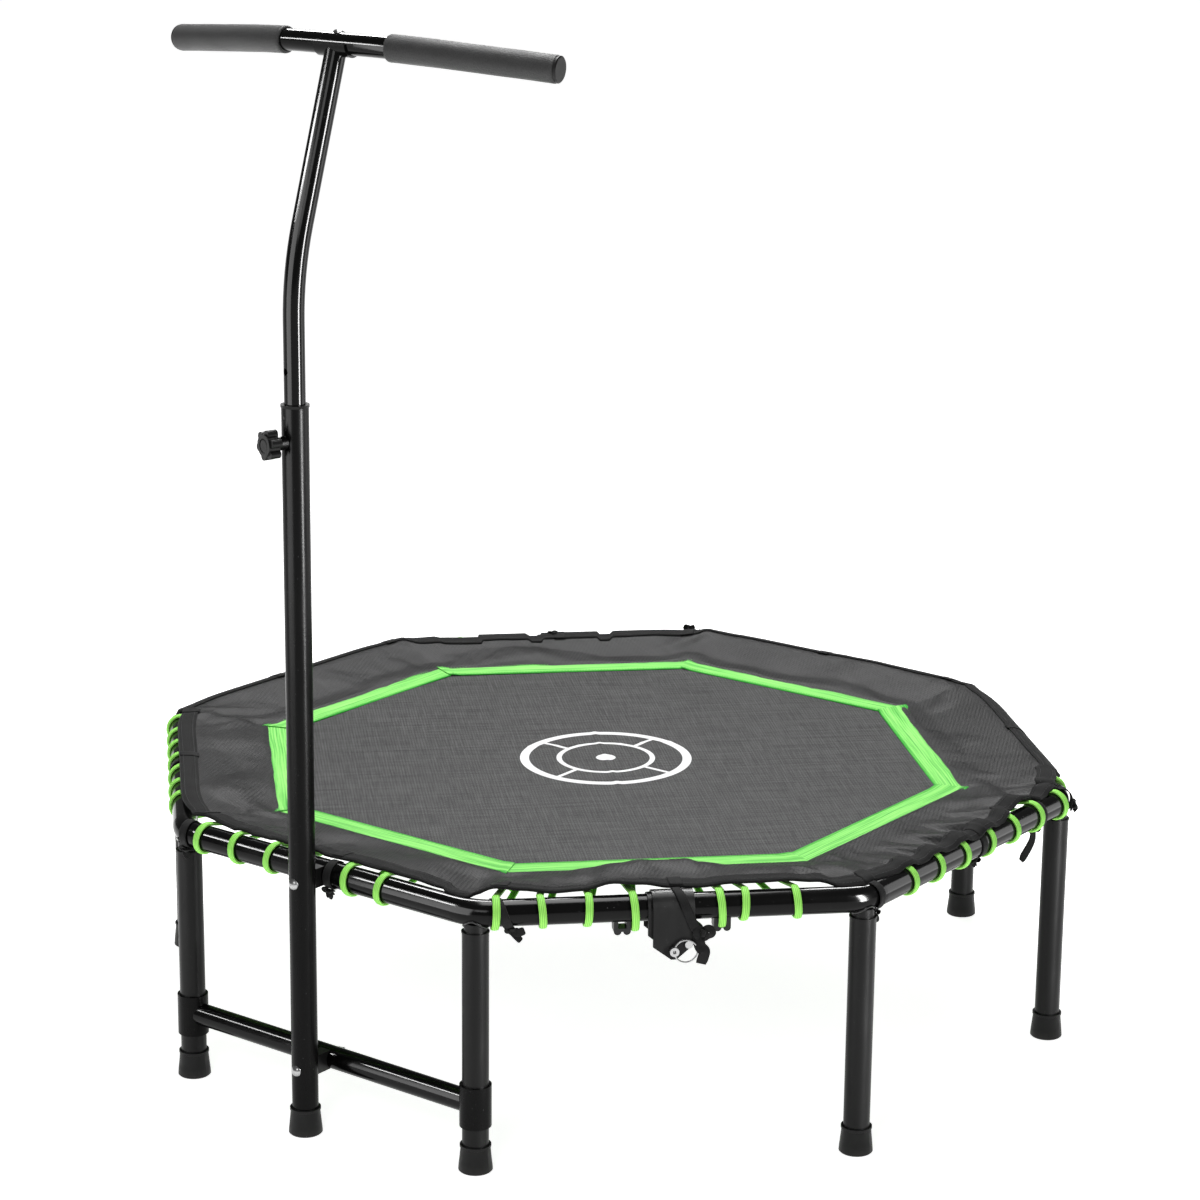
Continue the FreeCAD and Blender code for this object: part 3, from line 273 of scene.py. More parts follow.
class Shader:
    """A material's node tree, built up by short calls."""

    def __init__(self, name, **sockets):
        self.material = bpy.data.materials.new(name)
        self.material.use_nodes = True
        self.tree = self.material.node_tree
        self.surface = self.tree.nodes["Principled BSDF"]
        for socket, value in sockets.items():
            self.set(socket.replace("_", " "), value)

    def set(self, socket, value):
        target = self.surface.inputs[socket]
        if isinstance(value, bpy.types.NodeSocket):
            self.tree.links.new(value, target)
        else:
            target.default_value = value

    def add(self, kind, inputs=(), **properties):
        node = self.tree.nodes.new(kind)
        for name, value in properties.items():
            setattr(node, name, value)
        for key, value in dict(inputs).items():
            if isinstance(value, bpy.types.NodeSocket):
                self.tree.links.new(value, node.inputs[key])
            else:
                node.inputs[key].default_value = value
        return node

    def place(self):
        """Coordinates in metres in the frame at rest, for rigid pieces."""
        return self.add("ShaderNodeTexCoord").outputs["Object"]

    def cloth(self):
        """Cloth coordinates in metres, which bend with the piece."""
        return self.add("ShaderNodeUVMap", uv_map="cloth").outputs["UV"]

    def stretched(self, vector, scale, turn=0.0):
        """Coordinates turned about Z and then stretched."""
        if turn:
            turned = self.add("ShaderNodeMapping", {"Vector": vector})
            turned.inputs["Rotation"].default_value = (0, 0, turn)
            vector = turned.outputs["Vector"]
        node = self.add("ShaderNodeMapping", {"Vector": vector})
        node.inputs["Scale"].default_value = scale
        return node.outputs["Vector"]

    def noise(self, vector, scale, detail=2.0, rough=0.5):
        inputs = {"Vector": vector, "Scale": scale, "Detail": detail, "Roughness": rough}
        return self.add("ShaderNodeTexNoise", inputs).outputs[0]

    def cells(self, vector, scale):
        return self.add("ShaderNodeTexVoronoi", {"Vector": vector, "Scale": scale}).outputs["Distance"]

    def math(self, operation, a, b=0.0, c=0.0):
        return self.add("ShaderNodeMath", {0: a, 1: b, 2: c}, operation=operation).outputs[0]

    def remap(self, value, low, high, to_low, to_high):
        inputs = {"Value": value, "From Min": low, "From Max": high, "To Min": to_low, "To Max": to_high}
        return self.add("ShaderNodeMapRange", inputs).outputs["Result"]

    def mix(self, factor, a, b):
        node = self.add("ShaderNodeMix", data_type="RGBA")
        for socket, value in ((node.inputs[0], factor), (node.inputs[6], a), (node.inputs[7], b)):
            if isinstance(value, bpy.types.NodeSocket):
                self.tree.links.new(value, socket)
            else:
                socket.default_value = value
        return node.outputs[2]

    def split(self, vector):
        node = self.add("ShaderNodeSeparateXYZ", {"Vector": vector})
        return node.outputs["X"], node.outputs["Y"], node.outputs["Z"]

    def bump(self, height, strength, distance, under=None):
        inputs = {"Height": height, "Strength": strength, "Distance": distance}
        if under is not None:
            inputs["Normal"] = under
        return self.add("ShaderNodeBump", inputs).outputs["Normal"]

    def threads(self, vector, pitch, twist=0.0):
        """A plain weave's height, 0 between the threads and 1 on a crest, with its over-and-under."""
        turned = self.stretched(vector, (1 / pitch, 1 / pitch, 1), twist)
        x, y, _ = self.split(turned)
        warp = self.math("ABSOLUTE", self.math("SINE", self.math("MULTIPLY", x, math.pi)))
        weft = self.math("ABSOLUTE", self.math("SINE", self.math("MULTIPLY", y, math.pi)))
        odd = self.math("PINGPONG", self.math("ADD", self.math("FLOOR", x), self.math("FLOOR", y)), 1.0)
        even = self.math("SUBTRACT", 1.0, odd)
        over = self.math("MULTIPLY", self.math("POWER", warp, 0.6), odd)
        return self.math("MULTIPLY_ADD", self.math("POWER", weft, 0.6), even, over)


def grey(level, warm=0.0):
    return (level * (1 + warm), level, level * (1 - warm), 1.0)


def painted_steel(name, roughness, level=0.012, peel=0.05, coat=0.35, shine=0.5):
    """Black powder coat: a fine orange peel, faint smears, light specks painted in as the coat's glints, and
    a few rubbed scuffs.
    """
    s = Shader(name, Specular_IOR_Level=shine, Coat_Weight=coat, Coat_Roughness=0.07)
    where = s.place()
    broad = s.noise(where, 7.0, 3.0)
    smear = s.noise(s.stretched(where, (1, 1, 0.25)), 38.0, 4.0, 0.6)
    scuff = s.remap(s.noise(s.stretched(where, (1, 1, 3)), 95.0, 5.0, 0.7), 0.66, 0.8, 0.0, 1.0)
    colour = s.mix(broad, grey(level * 0.75), grey(level * 1.3))
    # Painted glints: small light specks in the colour stand for the sparkle of the coat.
    painted_glint_speck = s.remap(s.cells(where, 130.0), 0.0, 0.08, 1.0, 0.0)
    colour = s.mix(s.math("MULTIPLY", painted_glint_speck, 0.4), colour, grey(0.05))
    s.set("Base Color", s.mix(s.math("MULTIPLY", scuff, 0.25), colour, grey(0.012)))
    worn = s.math("MULTIPLY_ADD", scuff, 0.12, s.remap(smear, 0.3, 0.75, roughness * 0.8, roughness * 1.3))
    s.set("Roughness", worn)
    s.set("Normal", s.bump(s.noise(where, 900.0, 2.0), peel, 0.3 * MM))
    return s.material


def satin_plastic(name, level=0.006, roughness=0.38, grain=0.12):
    """Moulded plastic with a fine spark-eroded grain and slightly polished high spots."""
    s = Shader(name, Specular_IOR_Level=0.32)
    where = s.place()
    broad = s.noise(where, 40.0, 3.0)
    s.set("Base Color", s.mix(broad, grey(level * 0.8), grey(level * 1.35)))
    s.set("Roughness", s.remap(broad, 0.3, 0.7, roughness * 0.85, roughness * 1.2))
    s.set("Normal", s.bump(s.cells(where, 1600.0), grain, 0.2 * MM))
    return s.material


def foot_rubber():
    """Black rubber, a little chalky where it meets the floor."""
    s = Shader("foot_rubber", Specular_IOR_Level=0.22)
    where = s.place()
    _, _, height = s.split(where)
    mottle = s.noise(where, 120.0, 5.0, 0.65)
    low = s.remap(height, 0.0, 0.012, 1.0, 0.0)
    dust = s.math("MULTIPLY", low, s.remap(mottle, 0.35, 0.7, 0.1, 0.6))
    s.set("Base Color", s.mix(dust, s.mix(mottle, grey(0.004), grey(0.009)), grey(0.04, 0.05)))
    s.set("Roughness", s.remap(mottle, 0.3, 0.7, 0.38, 0.58))
    s.set("Normal", s.bump(s.noise(where, 700.0, 3.0), 0.15, 0.3 * MM))
    return s.material


def grip_foam():
    """Closed-cell foam: matt, finely pored with painted shade in the pores' hollows, and with soft pressed
    patches.
    """
    s = Shader("grip_foam", Specular_IOR_Level=0.42, Sheen_Weight=0.1, Sheen_Roughness=0.6)
    where = s.place()
    pores = s.cells(where, 620.0)
    broad = s.noise(where, 30.0, 3.0)
    # Painted shade: the colour darkens towards each pore's middle, where the bump is lowest.
    dark = s.remap(pores, 0.0, 0.5, 0.0, 1.0)
    s.set("Base Color", s.mix(dark, grey(0.008), s.mix(broad, grey(0.018), grey(0.030))))
    s.set("Roughness", s.remap(broad, 0.3, 0.7, 0.46, 0.58))
    s.set("Normal", s.bump(pores, 0.75, 0.4 * MM, s.bump(broad, 0.25, 1.2 * MM)))
    return s.material


def bright_metal(name, level, roughness):
    """Zinc or nickel plate with a fine brushed grain and a little dulling."""
    s = Shader(name, Metallic=1.0)
    where = s.place()
    grain = s.noise(s.stretched(where, (1, 1, 14)), 400.0, 3.0)
    dull = s.noise(where, 160.0, 4.0, 0.6)
    s.set("Base Color", s.mix(dull, grey(level * 0.82, 0.01), grey(level, -0.01)))
    s.set("Roughness", s.remap(dull, 0.3, 0.7, roughness * 0.7, roughness * 1.5))
    s.set("Normal", s.bump(grain, 0.05, 0.1 * MM))
    return s.material


RING_RADIUS = 0.108
RING_WIDTH = 0.012
INNER_RING_RADIUS = 0.062
INNER_RING_WIDTH = 0.007
CENTRE_DOT = 0.013
TICK_WIDTH = 0.006


def jump_mark(s, cloth):
    """A plain printed target in the middle of the mat: two rings, a dot and four ticks. 1 where it is."""
    x, y, _ = s.split(cloth)
    reach = s.math("SQRT", s.math("MULTIPLY_ADD", x, x, s.math("MULTIPLY", y, y)))

    def ring(radius, width):
        return s.math("LESS_THAN", s.math("ABSOLUTE", s.math("SUBTRACT", reach, radius)), width / 2)

    bar_x = s.math("LESS_THAN", s.math("ABSOLUTE", x), TICK_WIDTH / 2)
    bar_y = s.math("LESS_THAN", s.math("ABSOLUTE", y), TICK_WIDTH / 2)
    outside = s.math("GREATER_THAN", reach, INNER_RING_RADIUS)
    inside = s.math("LESS_THAN", reach, RING_RADIUS)
    ticks = s.math("MULTIPLY", s.math("MAXIMUM", bar_x, bar_y), s.math("MULTIPLY", outside, inside))
    dot = s.math("LESS_THAN", reach, CENTRE_DOT)
    rings = s.math("MAXIMUM", ring(RING_RADIUS, RING_WIDTH), ring(INNER_RING_RADIUS, INNER_RING_WIDTH))
    return s.math("MAXIMUM", rings, s.math("MAXIMUM", ticks, dot))


def mat_weave():
    """Woven polypropylene with a fine crossing grain, painted shade in the gaps between its threads, lying
    creases and the printed target.
    """
    s = Shader("mat_weave", Specular_IOR_Level=0.22, Sheen_Weight=0.06, Sheen_Roughness=0.5)
    cloth = s.cloth()
    weave_height_and_gap_shade = s.threads(cloth, 3.8 * MM, math.radians(-45))
    streak = s.noise(s.stretched(cloth, (9, 150, 1), math.radians(-45)), 1.0, 3.0, 0.75)
    cross = s.noise(s.stretched(cloth, (290, 16, 1), math.radians(-45)), 1.0, 3.0, 0.7)
    broad = s.noise(cloth, 5.0, 4.0)
    shade = s.remap(s.math("ADD", streak, cross), 0.78, 1.22, 0.0, 1.0)
    thread = s.mix(shade, grey(0.020), grey(0.092))
    # Painted shade: the gaps between the threads, where the weave is lowest, are painted near black.
    base = s.mix(weave_height_and_gap_shade, grey(0.007), thread)
    base = s.mix(s.remap(broad, 0.35, 0.7, 0.0, 0.2), base, grey(0.045))
    # The print is also painted fainter in the gaps, under the same painted shade.
    ink = s.math("MULTIPLY", jump_mark(s, cloth), s.remap(weave_height_and_gap_shade, 0.0, 0.35, 0.72, 1.0))
    s.set("Base Color", s.mix(ink, base, (0.80, 0.80, 0.80, 1)))
    s.set("Roughness", s.remap(weave_height_and_gap_shade, 0.0, 1.0, 0.72, 0.5))
    s.set("Normal", s.bump(weave_height_and_gap_shade, 0.45, 0.35 * MM, s.bump(broad, 0.06, 4 * MM)))
    return s.material


def skirt_fabric():
    """A satin mesh cloth: fine crossing threads with painted shade in the gaps between them, a soft sheen and
    small puckers.
    """
    s = Shader("skirt_fabric", Specular_IOR_Level=0.22)
    cloth = s.cloth()
    weave_height_and_gap_shade = s.threads(cloth, 3.6 * MM, math.radians(20))
    broad = s.noise(cloth, 14.0, 4.0, 0.6)
    slub = s.noise(s.stretched(cloth, (12, 240, 1), math.radians(20)), 1.0, 2.0, 0.6)
    pucker = s.noise(cloth, 60.0, 3.0, 0.55)
    thread = s.mix(s.remap(s.math("ADD", broad, slub), 0.75, 1.25, 0.0, 1.0), grey(0.005), grey(0.024))
    # Painted shade: the gaps of the mesh, where the weave is lowest, are painted almost black.
    s.set("Base Color", s.mix(weave_height_and_gap_shade, grey(0.0012), thread))
    s.set("Roughness", s.remap(weave_height_and_gap_shade, 0.0, 1.0, 0.60, 0.34))
    s.set("Normal", s.bump(weave_height_and_gap_shade, 0.5, 0.35 * MM, s.bump(pucker, 0.16, 2.5 * MM)))
    return s.material


def webbing(name, dark, light, rib_pitch, roughness=0.75, ribs=0.35, fuzzy=0.04, edge_shade_width=None):
    """Narrow woven tape: lengthwise ribs and fine picks with painted shade in the grooves between them, a
    little fuzz, and, given its width, painted shade darkening both edges.
    """
    s = Shader(name, Specular_IOR_Level=0.25, Sheen_Weight=fuzzy, Sheen_Roughness=0.5)
    cloth = s.cloth()
    x, y, _ = s.split(cloth)
    rib = s.math("ABSOLUTE", s.math("SINE", s.math("MULTIPLY", x, math.pi / rib_pitch)))
    pick = s.math("ABSOLUTE", s.math("SINE", s.math("MULTIPLY", y, math.pi / (1.1 * MM))))
    fuzz = s.noise(cloth, 900.0, 3.0, 0.7)
    broad = s.noise(cloth, 20.0, 3.0)
    height = s.math("MULTIPLY_ADD", pick, 0.45, rib)
    # Painted shade: the colour is lighter on the ribs' and picks' crests and darker in the grooves, mixed
    # with random tone from the fuzz, lines and broad noise.
    shade = s.math("MULTIPLY_ADD", rib, 0.4, s.math("MULTIPLY", pick, 0.15))
    shade = s.math("MULTIPLY_ADD", fuzz, 0.4, shade)
    lines = s.noise(s.stretched(cloth, (1.8 / rib_pitch, 7, 1)), 1.0, 2.0, 0.6)
    shade = s.math("ADD", shade, s.remap(lines, 0.3, 0.7, -0.4, 0.4))
    shade = s.math("MULTIPLY_ADD", broad, 0.3, s.math("SUBTRACT", shade, 0.1))
    # Painted shade: both edges are darkened over their last few millimetres.
    if edge_shade_width:
        off_middle = s.math("ABSOLUTE", s.math("SUBTRACT", x, edge_shade_width / 2))
        edge = s.remap(off_middle, edge_shade_width / 2 - 4.5 * MM, edge_shade_width / 2 - 0.5 * MM, 0.0, 0.75)
        shade = s.math("SUBTRACT", shade, edge)
    s.set("Base Color", s.mix(s.remap(shade, 0.0, 1.0, 0.0, 1.0), dark, light))
    s.set("Roughness", s.remap(fuzz, 0.3, 0.7, roughness * 0.9, roughness * 1.1))
    s.set("Normal", s.bump(height, ribs, 0.35 * MM))
    return s.material


def elastic_cord():
    """Bright green braided sheath over rubber strands, with painted highlights along the strands' crests and
    painted shade in the braid's hollows.
    """
    s = Shader("elastic_cord", Specular_IOR_Level=0.25)
    cloth = s.cloth()
    around, _, _ = s.split(cloth)
    braid = s.threads(cloth, 0.9 * MM, math.radians(38))
    broad = s.noise(cloth, 45.0, 3.0)
    # Painted highlights and shade: the colour is lighter on each strand's crest and on the braid's raised
    # threads and darker between them, with some broad random tone.
    strand = s.math("ABSOLUTE", s.math("SINE", s.math("MULTIPLY", around, math.pi / (2.3 * MM))))
    shade = s.math("MULTIPLY_ADD", broad, 0.35, s.math("MULTIPLY", braid, 0.14))
    shade = s.math("MULTIPLY_ADD", s.math("POWER", strand, 0.6), 0.8, s.math("SUBTRACT", shade, 0.16))
    # The dark and light greens are a shaded and a lit copy of one green.
    dark, light = (0.010, 0.30, 0.008, 1), (0.44, 1.0, 0.18, 1)
    s.set("Base Color", s.mix(s.remap(shade, 0.0, 1.0, 0.0, 1.0), dark, light))
    s.set("Roughness", s.remap(braid, 0.0, 1.0, 0.7, 0.5))
    s.set("Normal", s.bump(braid, 0.4, 0.25 * MM))
    return s.material


def thread(name, colour):
    """Sewing thread with its twist."""
    s = Shader(name, Specular_IOR_Level=0.4)
    where = s.cloth()
    twist = s.noise(s.stretched(where, (1, 3, 1), 0.6), 1500.0, 2.0)
    s.set("Base Color", s.mix(twist, tuple(0.6 * c for c in colour[:3]) + (1,), colour))
    s.set("Roughness", s.remap(twist, 0.3, 0.7, 0.5, 0.7))
    s.set("Normal", s.bump(twist, 0.3, 0.1 * MM))
    return s.material


GLOSS = painted_steel("gloss_paint", 0.13, level=0.0006, peel=0.03, coat=0.0, shine=0.12)
POST_PAINT = painted_steel("post_paint", 0.26, level=0.0006, peel=0.08, coat=0.0, shine=0.07)
SATIN = painted_steel("satin_paint", 0.32, level=0.0008, peel=0.10, coat=0.0, shine=0.14)
PLATE = painted_steel("plate_paint", 0.34, level=0.0012, peel=0.08, coat=0.0, shine=0.12)
WELD = painted_steel("weld_paint", 0.24, level=0.007, peel=0.35, coat=0.6, shine=0.2)
RUBBER = foot_rubber()
PLASTIC = satin_plastic("moulded_plastic")
BUSH_PLASTIC = satin_plastic("bushing_plastic", level=0.003, roughness=0.35)
FOAM = grip_foam()
ZINC = bright_metal("bright_zinc_plate", 0.42, 0.26)
NICKEL = bright_metal("nickel_plate", 0.46, 0.28)
WIRE = bright_metal("drawn_wire", 0.62, 0.32)
MAT = mat_weave()
SKIRT = skirt_fabric()
GREEN_WEB = webbing("green_webbing", (0.03, 0.38, 0.03, 1), (0.35, 0.89, 0.21, 1), 3.8 * MM, fuzzy=0.08,
                    edge_shade_width=38 * MM)
BINDING = webbing("binding_tape", grey(0.003), grey(0.013), 2.4 * MM, 0.85)
TAPE = webbing("tie_tape", grey(0.0025), grey(0.010), 1.8 * MM, 0.75)
TAB = webbing("tab_webbing", grey(0.003), grey(0.012), 2.0 * MM, 0.8)
CORD = elastic_cord()
GREEN_THREAD = thread("green_thread", (0.16, 0.80, 0.10, 1))
BLACK_THREAD = thread("black_thread", grey(0.035))

FINISHES = {
    GLOSS: ["frame_tube_left", "frame_tube_right", "crossbar", "inner_tube", "handlebar", "bar_saddle"],
    PLATE: ["hinge_inner_front", "hinge_inner_rear", "hinge_outer_front", "hinge_outer_rear"],
    POST_PAINT: ["handle_post", "knob_boss", "crossbar_sleeve_left", "crossbar_sleeve_right"],
    SATIN: ["leg_studs_left", "leg_studs_right"] + ["leg_%d" % n for n in SIDES],
    RUBBER: ["feet_left", "feet_right", "handle_post_foot"],
    PLASTIC: ["frame_spacer", "crossbar_spacer", "inner_tube_guide", "bar_end_plugs", "height_knob",
              "knob_cap", "cord_keepers_left", "cord_keepers_right"],
    BUSH_PLASTIC: ["post_bushing"],
    ZINC: ["post_bolts", "post_nuts", "handlebar_bolt", "handlebar_nut", "knob_stud"],
    NICKEL: ["lock_pin_front", "lock_pin_rear", "pull_ring_front", "pull_ring_rear", "hinge_rivets"],
}


def finish_cad_nodes():
    for material, names in FINISHES.items():
        for name in names:
            node = frame["nodes"][name]
            if node.data.materials:
                for index in range(len(node.data.materials)):
                    node.data.materials[index] = material
            else:
                node.data.materials.append(material)


finish_cad_nodes()

# ------------------------------------------------------------------ lacing: where each loop runs

# Each side's loops stand in runs along the tube: (first place, step, how many), in mm from the
# side's middle. The front side leaves the post free, and the hinge sides start at the keepers.
USUAL_RUNS = [(-186, 62, 7)]
LACING_RUNS = {
    1: [(-22, -58, 4), (44, 52, 2)],
    2: [(-45, -54, 4), (57, 28, 2), (147, 0, 1)],
    3: [(-145, 60, 7)],
    6: [(-50, -46, 4), (50, 46, 4)],
    8: [(-205, 55, 7)],
}
LEAN = 3
RING_FAN = 0.86
KEEPER_LOOPS = {2: (-45, 57), 6: (-50, 50)}
CORD_WIDTH = 9 * MM
CORD_THICK = 4.2 * MM
RING_APOTHEM = MAT_APOTHEM + 18 * MM
RING_DROP = 4 * MM
RING_WIRE = 1.6 * MM


def lacing(side):
    """(place on the tube, place of its ring at the mat, lean from the tube's top to its bottom), in mm."""
    spots = []
    for first, step, count in LACING_RUNS.get(side, USUAL_RUNS):
        for k in range(count):
            place = first + step * k
            spots.append((place, round(place * RING_FAN), LEAN if k % 2 == 0 else -LEAN + 1))
    return sorted(spots)


def ring_places(side):
    return [ring * MM for _, ring, _ in lacing(side)]


# ------------------------------------------------------------------ skirt surface

SKIRT_INNER = MAT_APOTHEM - 1 * MM
SKIRT_EDGE = APOTHEM - 6 * MM
SKIRT_COLUMNS = 720
SKIRT_ROWS = 26
SEAM_ROWS = 2
BINDING_WIDTH = 20 * MM
# On these sides the cloth is drawn straight from loop to loop.
TAUT_SIDES = (4, 5, 6, 7, 8)

# How high the skirt's edge stands over the top of the frame tube, in mm, on each side. Below zero it
# is drawn down round the outside of the tube.
EDGE_LEVEL = {1: 2, 2: 4, 3: -3, 4: -12, 5: -11, 6: 0, 7: -11, 8: 1}
EDGE_SWAY = {1: 3, 2: 4, 3: 3, 4: 2, 5: 3, 6: 1, 7: 2, 8: 1}
# Where it is lifted or pulled down more: (side, place along it, lift, half width of the lift), in mm.
EDGE_LIFTS = [(1, -200, 5, 25), (1, 220, -6, 40), (2, -198, 8, 22), (2, -60, 8, 30), (2, 110, 4, 50),
              (2, 225, -9, 35), (3, -20, -5, 60), (3, 135, 13, 26), (4, -190, 12, 35)]
EDGE_STEP = 35


def edge_heights():
    """The edge's height along every side: its level, a slow sway, and the lifts."""
    heights = {}
    for side in SIDES:
        heights[side] = []
        for along in range(-210, 211, EDGE_STEP):
            sway = noise.noise(Vector((along / 55, side * 3.1, 0.7)))
            lifts = sum(lift * math.exp(-((along - place) / width) ** 2)
                        for number, place, lift, width in EDGE_LIFTS if number == side)
            heights[side].append((along, EDGE_LEVEL[side] + EDGE_SWAY[side] * sway + lifts))
    return heights


# How far the skirt's edge lies out from the tube's own axis, in mm, at places along each side.
EDGE_REACHES = {
    1: [(-225, 0), (-190, -4), (-100, -5), (0, -5), (190, -4)], 2: [(-225, -5), (0, -6), (190, -6)],
    3: [(-222, -4), (0, -4), (170, -4)], 4: [(-225, 4), (-180, 10)], 5: [(0, 8)],
    6: [(-215, 2), (-150, -10), (-60, -13), (60, -12), (140, -11), (200, -4)],
    7: [(-200, 4), (0, 8), (200, 6)], 8: [(-215, 6), (-150, 4), (0, 3), (120, 3), (190, 3)],
}

# How far the cloth bellies up just outside the seam, in mm, at places along the front sides.
SEAM_BELLIES = {2: [(-215, 0), (-150, 2), (-104, 4.5), (-60, 8), (-25, 13), (40, 13), (60, 8),
                    (110, 3), (190, 0)],
                1: [(60, 0), (150, 3), (215, 2)], 3: [(-215, 4), (-120, 2), (0, 0)]}


def round_the_frame(lists):
    """Values given along the sides, in mm, put in order round the frame as (degrees, metres)."""
    spots = []
    for side, values in lists.items():
        for along, value in values:
            spots.append((side_facing(side) + math.degrees(math.atan(along * MM / APOTHEM)), value * MM))
    spots.sort()
    first, last = spots[0], spots[-1]
    return [(last[0] - 360, last[1])] + spots + [(first[0] + 360, first[1])]


def at_angle(spots, angle):
    """The value there, eased between the places that are given."""
    index = bisect.bisect_right(spots, (angle, 1.0)) - 1
    index = min(max(index, 0), len(spots) - 2)
    (a, low), (b, high) = spots[index], spots[index + 1]
    return low + (high - low) * smooth((angle - a) / (b - a))


HEIGHT_LINE = round_the_frame(edge_heights())
REACH_LINE = round_the_frame(EDGE_REACHES)
BELLY_LINE = round_the_frame(SEAM_BELLIES)


def side_of(angle):
    """The side that faces an angle, and the angle off that side's middle."""
    side = round((angle + 90) / 45) % 8 + 1
    off = (angle - side_facing(side) + 180) % 360 - 180
    return side, off


OVER_LOOPS = TUBE + CORD_THICK + 1.9 * MM
CORD_TOP_AT_RING = AXIS_Z - RING_DROP + RING_WIRE + CORD_THICK
CORD_TOP_AT_TUBE = TUBE_TOP + CORD_THICK


def cord_along(place, ring, apothem):
    """Where along its side a loop's upper strand is, at some way out from the centre."""
    share = min(max((apothem - RING_APOTHEM) / (APOTHEM - RING_APOTHEM), 0.0), 1.0)
    return (ring + (place - ring) * share) * MM


def cord_clearance(side, along, apothem):
    """The height of the loops' upper strands under the cloth, and how squarely it is over one, 0 to 1."""
    places = [cord_along(place, ring, apothem) for place, ring, _ in lacing(side)]
    over = 1.0 if side in TAUT_SIDES else over_any(along, places, CORD_WIDTH * 0.8, 16 * MM)
    share = (apothem - RING_APOTHEM + 8 * MM) / (APOTHEM - RING_APOTHEM - 2 * MM)
    top = CORD_TOP_AT_RING + (CORD_TOP_AT_TUBE - CORD_TOP_AT_RING) * min(max(share, 0.0), 1.0)
    return top + 1.6 * MM, over


def tube_clearance(side, along, apothem):
    """The least height at which cloth lies on the tube and its cord loops here."""
    out = apothem - APOTHEM
    strand, over = cord_clearance(side, along, apothem)
    radius = TUBE + 1.3 * MM + (OVER_LOOPS - TUBE - 1.3 * MM) * over
    on_tube = AXIS_Z + math.sqrt(radius * radius - out * out) if abs(out) < radius else -1.0
    on_strand = MAT_Z + (strand - MAT_Z) * over if out < 0 else -1.0
    return max(on_tube, on_strand)


def wrinkle(spot, angle, off, share):
    """Folds of the loose cloth: broad dents, rays that are strongest at the corners, a fine cockle."""
    turn = math.radians(angle)
    at_corner = math.exp(-((HALF_TURN - abs(off)) / 6.0) ** 2)
    broad = noise.noise(spot * 8.0 + Vector((0, 0, 4))) * 8.0 * MM
    sway = turn + 0.35 * (share - 0.5) * math.sin(3 * turn + 1)
    rays = noise.noise(Vector((math.cos(sway) * 7, math.sin(sway) * 7, share * 1.2)))
    rays *= (1.6 + 9.0 * at_corner) * MM
    dents = noise.noise(spot * 19.0 + Vector((1, 8, 2))) * 2.4 * MM
    patch = smooth(noise.noise(spot * 5.0 + Vector((3, 1, 0))) * 1.6 + 0.4)
    ridge = 1 - abs(noise.noise(Vector((math.cos(sway) * 17 + 5, math.sin(sway) * 17, share)))) * 3.0
    crease = max(0.0, ridge) ** 2 * (0.6 + 2.2 * at_corner) * MM * patch
    cockle = noise.noise(spot * 40.0 + Vector((7, 3, 1))) * 0.7 * MM
    hold = math.sin(math.pi * min(max(share, 0.0), 1.0)) ** 0.5
    seam = math.exp(-((share - 0.78) / 0.05) ** 2) * noise.noise(spot * 38.0) * 1.0 * MM
    return (broad + rays + dents + crease + cockle) * hold + seam


def drawn_out(side, height):
    """How far out from the tube's axis the edge lies where it is drawn down round the tube."""
    if height >= 0:
        return -1.0
    if side not in TAUT_SIDES:
        return math.sqrt((TUBE + 2 * MM) ** 2 - (TUBE + height) ** 2) * 1.1 - 7 * MM
    level = TUBE + 1.6 * MM + height
    return math.sqrt(OVER_LOOPS ** 2 - level ** 2) * smooth(-height / (8 * MM))


def skirt_spot(angle, share):
    """A point of the skirt: share 0 is the seam at the mat's edge and 1 the outer edge."""
    side, off = side_of(angle)
    height = at_angle(HEIGHT_LINE, angle)
    edge = APOTHEM + max(at_angle(REACH_LINE, angle), drawn_out(side, height))
    apothem = SKIRT_INNER + (edge - SKIRT_INNER) * share
    along = apothem * math.tan(math.radians(off))
    rounding = (10 * MM * share + 1 * MM) * math.exp(-((HALF_TURN - abs(off)) / 4.5) ** 2)
    reach = apothem / math.cos(math.radians(off)) - rounding
    spot = CENTRE + heading(angle) * reach
    low = MAT_Z + 2.6 * MM
    high = TUBE_TOP + 1.6 * MM + height
    z = low + (high - low) * (1 - (1 - share) ** 1.25)
    belly = at_angle(BELLY_LINE, angle)
    z += belly * (1 - math.exp(-(share / 0.07) ** 2)) * math.exp(-(share / 0.5) ** 2)
    fold = wrinkle(Vector((spot.x, spot.y, 0)), angle, off, share)
    lifted = 0.7 * max(fold, 0.0)
    z = max(z + fold, tube_clearance(side, along, apothem) + lifted, MAT_Z + 1.8 * MM)
    return Vector((spot.x, spot.y, z))


def seam_allowance(angle, inset, level):
    """A point of the skirt's inner strip, which is sewn flat under the green band."""
    _, off = side_of(angle)
    spot = CENTRE + heading(angle) * ((MAT_APOTHEM - inset) / math.cos(math.radians(off)))
    return Vector((spot.x, spot.y, MAT_Z + level))


def plan(point):
    """Cloth coordinates of a flat-lying sheet: its place on the floor plan, from the octagon's centre."""
    return (point.x - CENTRE.x, point.y - CENTRE.y)


def column_angles(count):
    return [FIRST_CORNER + 360 * k / count for k in range(count)]


